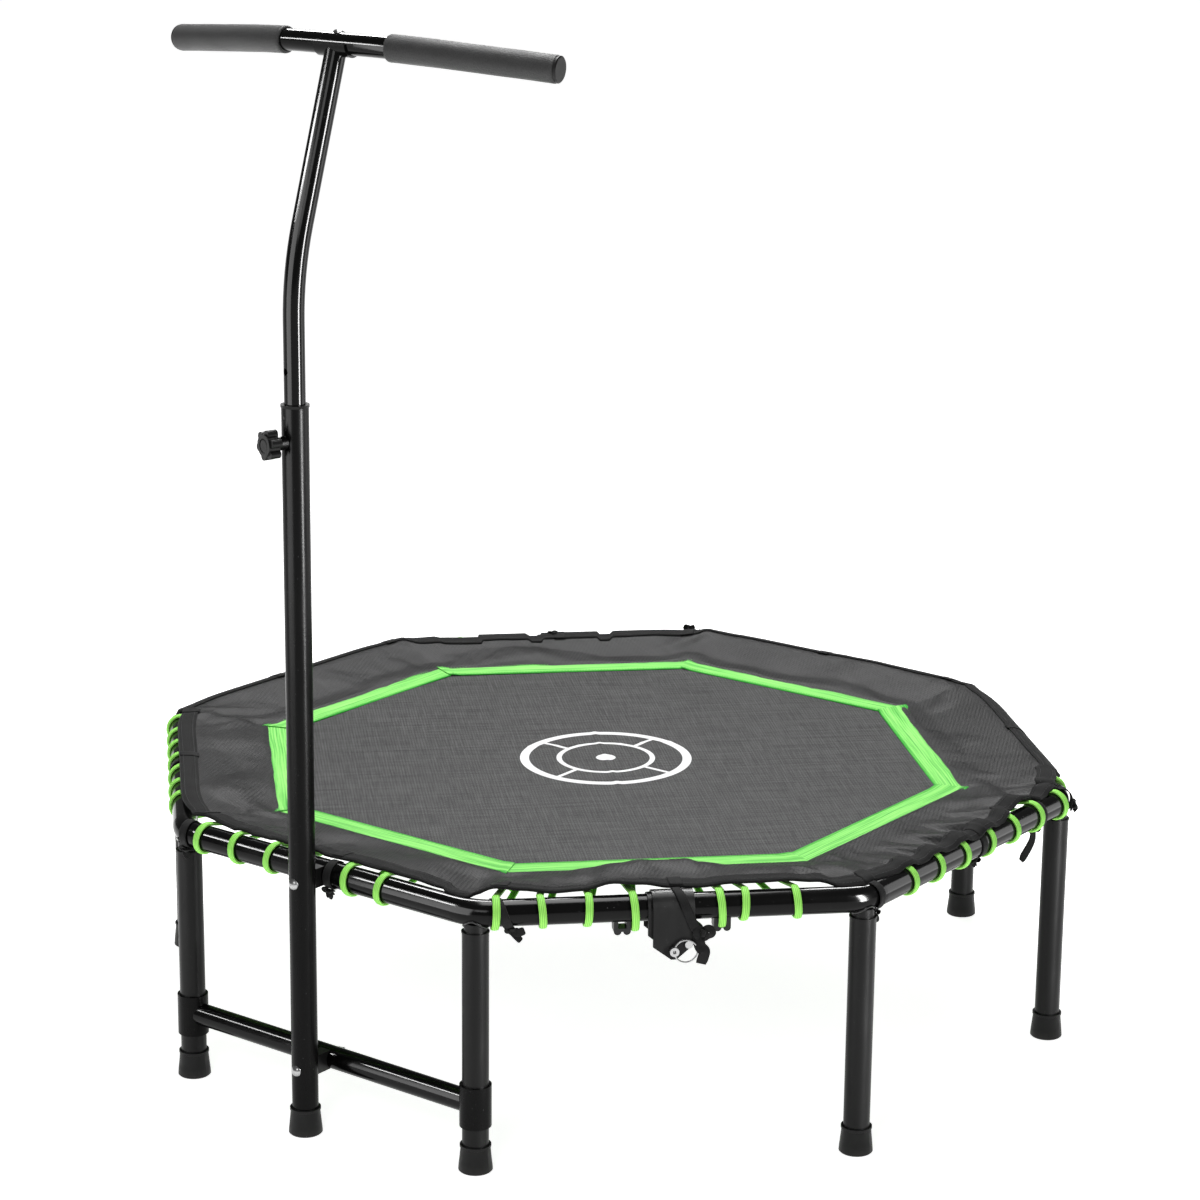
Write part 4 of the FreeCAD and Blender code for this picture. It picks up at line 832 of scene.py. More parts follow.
def skirt_grid():
    """Rows of points from the strip under the band, over the seam, to the outer edge."""
    angles = column_angles(SKIRT_COLUMNS)
    rows = [[seam_allowance(angle, inset, level) for angle in angles]
            for inset, level in ((18 * MM, 0.1 * MM), (6 * MM, 0.3 * MM))]
    for row in range(SKIRT_ROWS - SEAM_ROWS):
        share = row / (SKIRT_ROWS - SEAM_ROWS - 1)
        rows.append([skirt_spot(angle if angle < FIRST_CORNER + 360 else angle - 360, share)
                     for angle in angles])
    return rows


def rows_in(distance):
    """How many of the grid's rows there are in a distance across the skirt."""
    return distance / (SKIRT_EDGE - SKIRT_INNER) * (SKIRT_ROWS - SEAM_ROWS - 1)


def grid_normals(rows):
    """The upward normal at each point of a grid whose rows are rings."""
    height, width = len(rows), len(rows[0])
    normals = []
    for i in range(height):
        line_of = []
        for j in range(width):
            along = rows[i][(j + 1) % width] - rows[i][j - 1]
            out = rows[min(i + 1, height - 1)][j] - rows[max(i - 1, 0)][j]
            normal = along.cross(out).normalized()
            line_of.append(normal if normal.z > 0 else -normal)
        normals.append(line_of)
    return normals


def bend_over_fold(piece):
    """Bakes the piece's placement into its mesh; cloth that crosses the fold line stays in one piece and is
    not bent there.
    """
    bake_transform(piece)
    return piece


def point_in(rows, normals, row, column, lift):
    """A place in a grid by fractional row and column, raised along the normal."""
    width = len(rows[0])
    i = min(int(row), len(rows) - 2)
    j = int(math.floor(column))
    a, b = row - i, column - j

    def mixed(grid):
        near = grid[i][j % width].lerp(grid[i][(j + 1) % width], b)
        far = grid[i + 1][j % width].lerp(grid[i + 1][(j + 1) % width], b)
        return near.lerp(far, a)

    return mixed(rows) + mixed(normals).normalized() * lift


def stitches(surface, places, length, radius):
    """Short raised stitches. Each place is (point, direction, normal)."""
    for point, direction, normal in places:
        half = direction.normalized() * (length / 2)
        sunk = normal * (-0.7 * radius)
        risen = normal * radius * 0.4
        path = [point - half + sunk, point - half * 0.55 + risen, point + half * 0.55 + risen,
                point + half + sunk]
        surface.sweep(path, [normal] * 4, round_profile(radius, 5))


def build_binding(rows, normals):
    """The tape folded over the skirt's outer edge, above and below."""
    last = len(rows) - 1
    width_rows = rows_in(BINDING_WIDTH)
    top = [(last - width_rows, 0.7 * MM)] + [(last - width_rows * (1 - k / 6), 1.7 * MM) for k in range(7)]
    columns = range(len(rows[0]))
    over = [[point_in(rows, normals, row, column, lift) for column in columns] for row, lift in top]
    under = [[point_in(rows, normals, row, column, -lift) for column in columns]
             for row, lift in reversed(top)]
    nose = [over[-1][j].lerp(under[0][j], 0.5) + (rows[-1][j] - rows[-2][j]).normalized() * 1.4 * MM
            for j in columns]
    surface = Surface("edge_binding")
    surface.patch([list(column) for column in zip(*(over + [nose] + under))], ring_rows=True)
    return surface.build(BINDING, "black_tape", 0.7 * MM)


STITCH_LENGTH = 3.0 * MM
STITCH_PITCH = 4.4 * MM


def build_binding_stitches(rows, normals):
    """Two rows of lockstitch along the binding."""
    surface = Surface("edge_binding_stitches")
    last = len(rows) - 1
    columns = len(rows[0])
    perimeter = sum((rows[-1][j] - rows[-1][j - 1]).length for j in range(columns))
    count = int(perimeter / STITCH_PITCH)
    spots = []
    for inset in (3.5 * MM, BINDING_WIDTH - 3.5 * MM):
        row = last - rows_in(inset)
        for k in range(count):
            column = columns * k / count
            point = point_in(rows, normals, row, column, 2.1 * MM)
            ahead = point_in(rows, normals, row, column + 1, 2.1 * MM)
            i, j = int(row), int(column)
            spots.append((point, ahead - point, normals[i][j % columns]))
    stitches(surface, spots, STITCH_LENGTH, 0.38 * MM)
    return surface.build(BLACK_THREAD, "black_tape")


def build_edge_cover():
    rows = skirt_grid()
    normals = grid_normals(rows)
    surface = Surface("edge_cover")
    surface.patch(rows, ring_columns=True, plan=plan)
    skirt = surface.build(SKIRT, "skirt_fabric", 1.0 * MM)
    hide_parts("skirt_left", "skirt_right")
    binding = build_binding(rows, normals)
    sewing = build_binding_stitches(rows, normals)
    for piece in (skirt, binding, sewing):
        bend_over_fold(piece)
    return rows, normals


# ------------------------------------------------------------------ mat and its green band

BAND_WIDTH = 38 * MM
BAND_THICK = 1.4 * MM
MAT_RINGS = 64
MAT_COLUMNS = 480


def mat_edge(side, along):
    """The mat's edge is drawn out a little at each ring, and slack between them."""
    return MAT_APOTHEM - 4.0 * MM * (1 - bump_near(along, ring_places(side), 17 * MM))


def mat_rise(spot):
    """The mat's faint lying creases, crossing at its middle, and its slight waves."""
    x, y = plan(spot)
    crease = 0.0
    for angle, offset, height in ((45, 0.0, 0.9), (135, 0.06, 0.6), (0, -0.17, 0.4), (90, 0.21, 0.4)):
        across = x * math.cos(math.radians(angle)) + y * math.sin(math.radians(angle)) - offset
        crease += height * MM * math.exp(-(across / (4 * MM)) ** 2)
    return crease + noise.noise(Vector((x * 5, y * 5, 0.4))) * 1.6 * MM


def mat_spot(angle, share):
    side, off = side_of(angle)
    reach = share * MAT_APOTHEM
    along = reach * math.tan(math.radians(off))
    pull = smooth((share - 0.86) / 0.14)
    apothem = reach + (mat_edge(side, along) - MAT_APOTHEM) * pull
    spot = CENTRE + heading(angle) * (apothem / math.cos(math.radians(off)))
    rise = mat_rise(spot) * (1 - pull)
    return Vector((spot.x, spot.y, MAT_Z - 0.9 * MM + rise))


def build_mat():
    angles = column_angles(MAT_COLUMNS)
    rows = [[mat_spot(angle, (ring + 1) / MAT_RINGS) for angle in angles] for ring in range(MAT_RINGS)]
    surface = Surface("jumping_mat")
    surface.patch(rows, ring_columns=True, plan=plan)
    first = len(surface.points)
    surface.points.append(sum(rows[0], Vector()) / len(rows[0]))
    for j in range(MAT_COLUMNS):
        k = (j + 1) % MAT_COLUMNS
        surface.faces.append([k, j, first])
        surface.coordinates.append([plan(rows[0][k]), plan(rows[0][j]), plan(surface.points[first])])
    mat = surface.build(MAT, "mat_weave", 1.5 * MM)
    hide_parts("mat_left", "mat_right")
    return mat


BAND_RIBS = 8
BAND_OVERHANG = {1: 0, 2: 0, 3: 2, 4: 6, 5: 4, 6: 1, 7: 2, 8: 2}
BAND_LENGTHWISE = 110
BAND_ACROSS = 40


def band_spot(side, lengthwise, across, lift):
    """A point of the band: lengthwise -1 to 1 between the mitres, across 0 inside to 1 outside."""
    inner = MAT_APOTHEM - BAND_WIDTH
    apothem = inner + BAND_WIDTH * across
    along = lengthwise * apothem * math.tan(math.radians(HALF_TURN))
    edge = MAT_APOTHEM + BAND_OVERHANG[side] * MM
    edge += noise.noise(Vector((along * 16, side * 3.7, 1.5))) * 3.5 * MM
    apothem = inner + (edge - inner) * across
    rib = 0.4 * MM * abs(math.sin(math.pi * across * BAND_RIBS)) ** 0.7
    wave = abs(noise.noise(Vector((along * 20 + side * 9, across * 2, 2.5)))) * 1.6 * MM
    return on_side(side, along, apothem, MAT_Z + lift + rib + wave * across)


def build_band():
    """Eight strips of ribbed webbing, each lapped over the next at the corners."""
    surface = Surface("green_band")
    sewing = Surface("green_band_stitches")
    lap = 1.014
    for side in SIDES:
        rows = []
        for k in range(BAND_LENGTHWISE + 1):
            share = -1.0 + (1 + lap) * k / BAND_LENGTHWISE
            rise = 0.9 * MM + 1.5 * MM * smooth((share - 0.9) / 0.1)
            rows.append([band_spot(side, share, column / BAND_ACROSS, rise)
                         for column in range(BAND_ACROSS + 1)])
        below = [[point - UP * BAND_THICK for point in row] for row in rows]
        closed = [top + list(reversed(bottom)) for top, bottom in zip(rows, below)]
        surface.patch(closed, ring_columns=True)
        surface.cap(closed[0])
        surface.cap(list(reversed(closed[-1])))
        spots = []
        for across in (0.09, 0.91):
            length = 2 * (MAT_APOTHEM - BAND_WIDTH * (1 - across)) * math.tan(math.radians(HALF_TURN))
            count = int(length / STITCH_PITCH)
            for k in range(1, count):
                share = -1 + 2 * k / count
                rise = 1.1 * MM + 1.5 * MM * smooth((share - 0.9) / 0.1)
                point = band_spot(side, share, across, rise)
                ahead = band_spot(side, share + 0.01, across, rise)
                spots.append((point, ahead - point, UP))
        stitches(sewing, spots, STITCH_LENGTH, 0.4 * MM)
    band = surface.build(GREEN_WEB, "green_webbing")
    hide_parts("mat_band_left", "mat_band_right")
    return band, sewing.build(GREEN_THREAD, "green_webbing")


# ------------------------------------------------------------------ elastic loops, rings and tabs


def loop_path(place, ring, lean, keeper):
    """One loop in its side's frame, as (along, inwards, upwards) points and the way out at each."""
    wrap = TUBE + CORD_THICK / 2 + 0.1 * MM
    turn_in = RING_WIRE + CORD_THICK / 2
    far = Vector((0, APOTHEM - RING_APOTHEM, -RING_DROP))
    span = far.length
    slope = math.atan2(far.z, far.y)
    opening = math.acos((wrap - turn_in) / span)
    spots, outs = [], []

    def put(centre, radius, angle, along):
        out = Vector((0, math.cos(angle), math.sin(angle)))
        spots.append(centre + out * radius + Vector((along, 0, 0)))
        outs.append(out)

    start, stop = slope + opening, slope - opening + math.tau
    steps = 26
    for k in range(steps + 1):
        angle = start + (stop - start) * k / steps
        swing = -math.cos(math.pi * k / steps) / 2
        low = math.exp(-((angle - 1.5 * math.pi) / 0.75) ** 2) if keeper else 0.0
        put(Vector(), wrap + 8.0 * MM * low, angle, place + lean * swing)
    apart = math.copysign(6 * MM, place - ring)
    low_ring, high_ring = ring - apart, ring + apart
    strand = 7
    tube_low, ring_low = spots[-1].copy(), far + Vector((0, math.cos(stop), math.sin(stop))) * turn_in
    for k in range(1, strand):
        share = k / strand
        spots.append(tube_low.lerp(Vector((low_ring, ring_low.y, ring_low.z)), share))
        outs.append(outs[steps])
    for k in range(7):
        angle = stop - math.tau + (start - stop + math.tau) * k / 6
        put(far, turn_in, angle, low_ring + (high_ring - low_ring) * k / 6)
    ring_high = spots[-1].copy()
    tube_high = spots[0].copy()
    for k in range(1, strand):
        spots.append(ring_high.lerp(tube_high, k / strand))
        outs.append(outs[0])
    return spots, outs


def in_place(side, spot):
    return by_tube(side, spot.x, spot.y, spot.z)


def turned_to(side, way):
    facing = side_facing(side)
    return heading(facing + 90) * way.x - heading(facing) * way.y + UP * way.z


def ring_path(side, ring):
    """A triangular wire ring: its point holds the cord, its long side sits in the tab."""
    out = APOTHEM - RING_APOTHEM
    corners = [Vector((ring, out + 0.2 * MM, -RING_DROP)),
               Vector((ring - 11 * MM, out + 14 * MM, -RING_DROP + 0.4 * MM)),
               Vector((ring + 11 * MM, out + 14 * MM, -RING_DROP + 0.4 * MM))]
    spots = []
    for k, corner in enumerate(corners):
        before, after = corners[k - 1], corners[(k + 1) % 3]
        a = corner + (before - corner).normalized() * 4 * MM
        b = corner + (after - corner).normalized() * 4 * MM
        for step in range(5):
            t = step / 4
            spots.append(a * (1 - t) ** 2 + corner * 2 * t * (1 - t) + b * t * t)
    return [in_place(side, spot) for spot in spots]


def build_lacing():
    """The cord loops, wire rings and webbing tabs, one piece of each for each side and half."""
    made = []
    profile = cord_profile(CORD_WIDTH, CORD_THICK)
    for side in SIDES:
        halves = {}
        for place, ring, lean in lacing(side):
            body = body_at(on_side(side, place * MM, APOTHEM, 0))
            halves.setdefault(body, []).append((place, ring, lean))
        for body, loops in halves.items():
            tag = "%d_%s" % (side, body.split("_")[0])
            cords = Surface("cord_loops_" + tag)
            rings = Surface("mat_rings_" + tag)
            tabs = Surface("ring_tabs_" + tag)
            for place, ring, lean in loops:
                keeper = place in KEEPER_LOOPS.get(side, ())
                spots, outs = loop_path(place * MM, ring * MM, lean * MM, keeper)
                line = [in_place(side, spot) for spot in spots]
                cords.sweep(line, [turned_to(side, out) for out in outs], profile, ring=True)
                wire = ring_path(side, ring * MM)
                rings.sweep(wire, [UP] * len(wire), round_profile(RING_WIRE, 10), ring=True)
                add_tab(tabs, side, ring * MM)
            for surface, material, slot in ((cords, CORD, "green_cord"), (rings, WIRE, "plain_steel"),
                                            (tabs, TAB, "black_tape")):
                piece = surface.build(material, slot)
                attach(piece, body)
                made.append(piece)
    for piece in made:
        half = "left" if piece["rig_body"] == "fixed_half" else "right"
        if piece.name.startswith("cord_loops"):
            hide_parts("cord_loops_" + half)
        if piece.name.startswith("mat_rings"):
            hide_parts("mat_rods_" + half)
    return made


TAB_WIDTH = 19 * MM


def add_tab(surface, side, ring):
    """A webbing tab sewn under the mat's edge, folded round the ring's long side."""
    wire_in = APOTHEM - RING_APOTHEM + 14 * MM
    edge_in = APOTHEM - MAT_APOTHEM
    level = -RING_DROP + 0.4 * MM
    roof = MAT_Z - AXIS_Z - 2.6 * MM
    knee = [(edge_in + 26 * MM, roof), (edge_in + 8 * MM, roof - 0.3 * MM),
            (wire_in - 0.5 * MM, level + 2.4 * MM), (wire_in - 2.6 * MM, level),
            (wire_in, level - 2.4 * MM), (edge_in + 8 * MM, level - 1.2 * MM),
            (edge_in + 24 * MM, roof - 1.6 * MM)]
    path = flowing([in_place(side, Vector((ring, y, z))) for y, z in knee], 4)
    outs = []
    along = heading(side_facing(side) + 90)
    for k in range(len(path)):
        before, after = path[max(k - 1, 0)], path[min(k + 1, len(path) - 1)]
        outs.append((after - before).cross(along).normalized())
    surface.sweep(path, outs, strip_profile(TAB_WIDTH, 1.3 * MM))


# ------------------------------------------------------------------ ties

TAPE_WIDTH = 12 * MM
TAPE_THICK = 1.3 * MM

# Each tie round the tube: (side, place along it, turn of its knot round the tube from outwards
# towards down in degrees, [tails]), where a tail is (length, swing along, swing outwards), in mm.
TIES = [
    (1, -222, 62, [(10, -5, 1), (8, 6, 3)]), (1, 15, 62, [(8, 7, 1), (6, 2, 2)]),
    (3, -219, 80, [(12, 4, 5), (9, -6, 5)]), (3, 17, 90, [(6, -4, 2), (5, 3, 2)]),
    (3, 165, 90, [(33, -30, 2), (8, 4, -5)]), (4, -224, 20, [(9, 5, 5), (7, -4, 4)]),
    (4, 20, 100, [(20, 6, -2)]), (5, -196, 90, [(26, 6, 3), (14, -6, 4)]), (5, 20, 100, [(18, -5, 2)]),
    (6, -206, -75, [(6, 11, 2), (5, -9, 2)]), (7, -204, 90, [(26, 6, 3), (12, -6, 2)]),
    (7, 30, 100, [(34, -6, -2), (14, 6, 2)]), (8, -214, 60, [(12, 5, 5)]),
    (8, -16, 100, [(12, 6, 2), (9, -5, 2)]),
]


def add_ribbon(surface, points, outs, width=TAPE_WIDTH, thick=TAPE_THICK, slant=0.0):
    """A flat tape along a path, narrowing and thinning towards its far end."""
    path = flowing(points, 6)
    ways = flowing(outs, 6)
    surface.sweep(path, [way.normalized() for way in ways], strip_profile(width, thick),
                  taper=(lambda share: 1.0 - slant * max(0.0, share - 0.9) * 5))


def round_tube(side, along, degrees, out):
    """A place round the tube, by its turn from outwards towards down, and its distance from the axis."""
    turn = math.radians(degrees)
    return in_place(side, Vector((along, -math.cos(turn) * out, -math.sin(turn) * out)))


def add_knot(surface, centre, out, along, size=5.0 * MM):
    """A tight overhand knot of tape, pulled flat against the tube."""
    across = out.cross(along)
    path, outs = [], []
    for k in range(42):
        t = math.tau * k / 42
        x = math.sin(t) + 1.6 * math.sin(2 * t)
        y = math.cos(t) - 1.6 * math.cos(2 * t)
        z = -math.sin(3 * t)
        path.append(centre + along * (x * size * 0.6) + across * (y * size * 0.5) + out * (z * size * 0.42))
        outs.append((out + across * 0.25).normalized())
    surface.sweep(path, outs, strip_profile(6.0 * MM, 1.8 * MM, 3), ring=True)


def build_ties():
    pieces = []
    for number, (side, place, turn, tails) in enumerate(TIES, start=1):
        surface = Surface("edge_tie_%02d" % number)
        along = place * MM
        wrap = TUBE + TAPE_THICK / 2 + 0.25 * MM
        band, outs = [], []
        for k in range(40):
            angle = 360 * k / 40
            sway = 1.6 * MM * math.sin(math.radians(angle) + number)
            band.append(round_tube(side, along + sway, angle, wrap))
            outs.append((band[-1] - round_tube(side, along + sway, angle, 0)).normalized())
        surface.sweep(band, outs, strip_profile(TAPE_WIDTH, TAPE_THICK), ring=True)
        centre = round_tube(side, along, turn, TUBE + 4.6 * MM)
        out = (centre - round_tube(side, along, turn, 0)).normalized()
        way = turned_to(side, Vector((1, 0, 0)))
        add_knot(surface, centre, out, way, 5.0 * MM if turn > 0 else 3.6 * MM)
        outwards = heading(side_facing(side))
        for index, (length, swing, reach) in enumerate(tails):
            start = centre + way * ((index - 0.5) * 3 * MM)
            falling = -UP if turn > 0 else out
            middle = start + (way * (swing * 0.2) + outwards * (reach * 0.9) + falling * (length * 0.42)) * MM
            end = start + (way * swing + outwards * (reach * 0.6) + falling * length) * MM
            spin = 0.45 if index else -0.3
            ways = [(outwards + way * (spin * share) + UP * 0.15).normalized() for share in (0.2, 1.0, 2.0)]
            width = TAPE_WIDTH * (1.0 if length > 20 else 0.8)
            add_ribbon(surface, [start, middle, end], ways, slant=0.7, width=width)
        piece = surface.build(TAPE, "black_tape")
        body = body_at(on_side(side, along, APOTHEM, 0))
        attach(piece, body)
        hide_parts("skirt_ties_left" if body == "fixed_half" else "skirt_ties_right")
        pieces.append(piece)
    pieces.append(build_corner_tie())
    return pieces


def build_corner_tie():
    """The tie beside the first loop of the front side: it comes from behind the loop and ends below."""
    surface = Surface("edge_tie_17")

    def spot(along, out, up):
        return in_place(2, Vector((along * MM, -out * MM, up * MM)))

    def way(along, out, up):
        return turned_to(2, Vector((along, -out, up)))

    points = [spot(-207, -12, 13), spot(-205, 2, 17.4), spot(-202, 13.5, 11), spot(-198, 17.3, 0),
              spot(-194, 14.6, -10), spot(-190, 9, -17)]
    ways = [way(0, -0.7, 0.7), way(0, 0.1, 1), way(0, 0.75, 0.6), way(0, 1, 0), way(0, 0.8, -0.5),
            way(0, 0.6, -0.8)]
    add_ribbon(surface, points, ways)
    add_knot(surface, spot(-189, 10, -18.5), way(0, 0.8, -0.6), way(1, 0, 0), 4.0 * MM)
    add_ribbon(surface, [spot(-189, 11, -19), spot(-182, 14, -20), spot(-174, 15, -17)],
               [way(0.1, 1, 0), way(0, 1, 0.2), way(-0.2, 1, 0)], width=10 * MM, slant=0.6)
    add_ribbon(surface, [spot(-188, 11, -20), spot(-183, 14, -25), spot(-178, 15, -30)],
               [way(0.1, 1, 0), way(0.3, 1, 0.1), way(0.4, 1, 0)], width=8 * MM, slant=0.8)
    piece = surface.build(TAPE, "black_tape")
    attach(piece, "fixed_half")
    return piece


# The ties at the hinges run slantwise down the outer bracket's face to a bow below it.
def build_hinge_ties():
    pieces = []
    for side, label in ((2, "front"), (6, "rear")):
        sense = 1 if side == 2 else -1
        surface = Surface("hinge_tie_" + label)

        def spot(along, out, up):
            return in_place(side, Vector((sense * along * MM, -out * MM, up * MM)))

        def way(along, out, up):
            return turned_to(side, Vector((sense * along, -out, up)))

        points = [spot(8, -20, 4), spot(6, -14, 17), spot(5, 0, 21.9), spot(9, 14, 17.2), spot(14, 21.6, 6),
                  spot(19, 21.9, -7), spot(24.5, 22.2, -19), spot(30, 20, -26)]
        ways = [way(0, -1, 0.2), way(0, -0.7, 0.8), way(0, 0.0, 1), way(0, 0.65, 0.75),
                way(0, 1, 0.25), way(0, 1, 0), way(0.1, 1, 0), way(0.2, 1, -0.2)]
        add_ribbon(surface, points, ways, width=11 * MM)
        back = [spot(8, -20, 4), spot(12, -22.5, -8), spot(20, -20, -20), spot(28, -8, -23.5),
                spot(31, 6, -23), spot(31, 17, -25)]
        back_ways = [way(0, -1, 0.1), way(0, -1, 0), way(0, -0.9, -0.4), way(0, -0.3, -1),
                     way(0, 0, -1), way(0, 0.5, -1)]
        add_ribbon(surface, back, back_ways, width=10 * MM)
        add_bow(surface, spot, way)
        if label == "rear":
            add_knot(surface, spot(-2, -3, 24.5), way(0, 0, 1), way(1, 0, 0), 4.2 * MM)
        piece = surface.build(TAPE, "black_tape")
        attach(piece, "folding_half")
        pieces.append(piece)
    return pieces


def add_bow(surface, spot, way):
    """A small bow beside the bracket: two loops, the knot and two tails, one long with a kink."""
    face = way(0.1, 1, 0.1)
    left = [spot(33, 20, -25), spot(29, 22, -21.5), spot(26, 23.5, -26), spot(29, 23, -30), spot(33, 22, -27)]
    right = [spot(34, 20, -26), spot(39, 22, -21), spot(44, 22.5, -22.5), spot(45, 23, -28),
             spot(40, 22, -30), spot(35, 22, -27)]
    add_ribbon(surface, left, [face] * 5, width=9 * MM)
    right_ways = [way(-0.2, 1, 0.1), way(0, 1, 0.3), way(0.4, 1, 0.1), way(0.3, 1, -0.3),
                  way(0, 1, -0.3), face]
    add_ribbon(surface, right, right_ways, width=9 * MM)
    add_ribbon(surface, [spot(31, 21, -25), spot(34, 25, -26), spot(37, 21, -27)],
               [way(-0.8, 1, 0), way(0, 1, 0), way(0.8, 1, 0)], width=9 * MM, thick=2.2 * MM)
    tail = [spot(32, 21, -27), spot(29, 24, -34), spot(30.5, 26, -42), spot(35, 27, -47),
            spot(34, 26.5, -54), spot(31.5, 25, -63)]
    tail_ways = [way(-0.2, 1, 0), way(-0.3, 1, 0), way(0.1, 1, 0.1), way(0.15, 1, 0.2), way(0.1, 1, 0),
                 way(0.05, 1, 0)]
    add_ribbon(surface, tail, tail_ways, width=14 * MM, slant=0.25)
    short = [spot(35, 20, -27), spot(38, 22, -31), spot(40, 21, -35)]
    add_ribbon(surface, short, [way(0.2, 1, 0), way(0.5, 1, 0), way(0.2, 1, 0)], width=9 * MM, slant=0.6)


# ------------------------------------------------------------------ tie tabs on the binding


def build_tie_tabs(rows, normals):
    """The sewn patches on the binding that the ties come from."""
    surface = Surface("tie_patches")
    columns = len(rows[0])
    last = len(rows) - 1
    places = [(side, along) for side, along, _, _ in TIES] + [(2, 6), (6, -6), (2, -205)]
    for side, along in places:
        angle = side_facing(side) + math.degrees(math.atan(along * MM / APOTHEM))
        middle = (angle - FIRST_CORNER) / 360 * columns
        half = 8.5 * MM / (math.tau * APOTHEM / columns)
        grid = []
        for i in range(7):
            row = last - rows_in(BINDING_WIDTH + 2 * MM) * (1 - i / 6)
            grid.append([point_in(rows, normals, row, middle + half * (2 * k / 6 - 1), 2.5 * MM)
                         for k in range(7)])
        surface.patch(grid)
    return surface.build(TAB, "black_tape", 0.8 * MM)


# ------------------------------------------------------------------ foam grips

BAR_STRAIGHT = 35 * MM
BAR_BEND = 490 * MM
BAR_SWEEP = math.radians(13)
NECK_TILT = math.radians(17.5)
BEND_HEIGHT = 1.050
BAR_HEIGHT = 1.301
GRIP_BORE = 12.7 * MM
GRIP_START = 78 * MM
GRIP_RADIUS = 15.8 * MM
NECK_WAY = Vector((0, math.sin(NECK_TILT), math.cos(NECK_TILT)))
LEAN_WAY = Vector((0, math.cos(NECK_TILT), -math.sin(NECK_TILT)))
BAR_CENTRE = Vector((0, POST_Y, BEND_HEIGHT)) + NECK_WAY * ((BAR_HEIGHT - BEND_HEIGHT) / math.cos(NECK_TILT))


def bar_spot(sign, along):
    """A point of the handlebar's centreline, by its distance from the middle."""
    if along <= BAR_STRAIGHT:
        return BAR_CENTRE + Vector((sign * along, 0, 0))
    angle = min((along - BAR_STRAIGHT) / BAR_BEND, BAR_SWEEP)
    rest = along - BAR_STRAIGHT - BAR_BEND * angle
    across = BAR_STRAIGHT + BAR_BEND * math.sin(angle) + rest * math.cos(angle)
    reach = BAR_BEND * (1 - math.cos(angle)) + rest * math.sin(angle)
    return BAR_CENTRE + Vector((sign * across, 0, 0)) + LEAN_WAY * reach


GRIP_END = 287.6 * MM


def build_grips():
    for name, sign in (("left", -1), ("right", 1)):
        stations = []
        for inset, radius in ((0.0, -3.0), (0.0, -1.6), (0.5, -0.5), (1.6, 0.0), (4.0, 0.15)):
            stations.append((GRIP_START + inset * MM, GRIP_RADIUS + radius * MM))
        for k in range(1, 60):
            along = GRIP_START + 4 * MM + (GRIP_END - GRIP_START - 8 * MM) * k / 60
            stations.append((along, GRIP_RADIUS))
        for inset, radius in ((4.0, 0.1), (1.6, 0.0), (0.5, -0.5), (0.0, -1.6), (0.0, -3.0)):
            stations.append((GRIP_END - inset * MM, GRIP_RADIUS + radius * MM))
        rows = []
        for along, radius in stations:
            centre = bar_spot(sign, along)
            way = (bar_spot(sign, along + MM) - bar_spot(sign, along - MM)).normalized()
            side = way.cross(NECK_WAY).normalized()
            ring = []
            for k in range(48):
                angle = math.tau * k / 48
                out = NECK_WAY * math.sin(angle) + side * math.cos(angle)
                spot = Vector((along * 26 + sign * 5, math.cos(angle) * 1.3, math.sin(angle) * 1.3))
                dent = noise.noise(spot)
                ring.append(centre + out * (radius + dent * 0.22 * MM))
            rows.append(ring)
        surface = Surface("foam_grip_" + name)
        surface.patch(rows, ring_columns=True)
        inner = []
        for i in (0, len(rows) - 1):
            middle = bar_spot(sign, stations[i][0])
            inner.append([spot + (middle - spot).normalized() * ((spot - middle).length - GRIP_BORE)
                          for spot in rows[i]])
        surface.patch([inner[0], rows[0]], ring_columns=True)
        surface.patch([rows[-1], inner[1]], ring_columns=True)
        surface.patch([inner[1], inner[0]], ring_columns=True)
        grip = surface.build(FOAM, "grip_foam")
        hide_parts("grip_" + name)
        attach(grip, "handle")


# ------------------------------------------------------------------ weld beads

BEAD = 1.7 * MM


def add_bead(surface, spots, outs, ring=True, seed=1.0):
    """A weld bead with its overlapping ripples."""
    fine, ways = [], []
    for k, (spot, out) in enumerate(zip(spots, outs)):
        ripple = 0.35 * MM * abs(math.sin(math.pi * k / 3 + seed)) + noise.noise(spot * 300) * 0.25 * MM
        fine.append(spot + out * ripple)
        ways.append(out)
    surface.sweep(fine, ways, round_profile(BEAD, 8), ring=ring)


STUD_RADIUS = 13.6 * MM


def build_welds():
    for half, corners in (("fixed_half", (1, 2, 7, 8)), ("folding_half", (3, 4, 5, 6))):
        surface = Surface("stud_welds_" + half.split("_")[0])
        for number in corners:
            angle = FIRST_CORNER + 45 * (number - 1)
            middle = CENTRE + heading(angle) * LEG_RADIUS
            spots, outs = [], []
            for k in range(72):
                turn = math.tau * k / 72
                out = heading(math.degrees(turn))
                spot = middle + out * (STUD_RADIUS + 0.2 * MM)
                off = math.hypot(spot.x - CENTRE.x, spot.y - CENTRE.y) - (LEG_RADIUS - 1 * MM)
                spot.z = AXIS_Z - math.sqrt(max(TUBE ** 2 - off ** 2, (4 * MM) ** 2)) - 0.2 * MM
                spots.append(spot)
                outs.append((out - UP * 0.5).normalized())
            add_bead(surface, spots, outs, seed=number)
        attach(surface.build(WELD, "black_paint"), half)


# ------------------------------------------------------------------ put the object together

skirt_rows, skirt_normals = build_edge_cover()
patches = bend_over_fold(build_tie_tabs(skirt_rows, skirt_normals))
mat = build_mat()
band, band_sewing = build_band()
for cloth_piece in (mat, band, band_sewing):
    bend_over_fold(cloth_piece)
laces = build_lacing()
build_ties()
build_hinge_ties()
build_grips()
build_welds()

# ------------------------------------------------------------------ studio


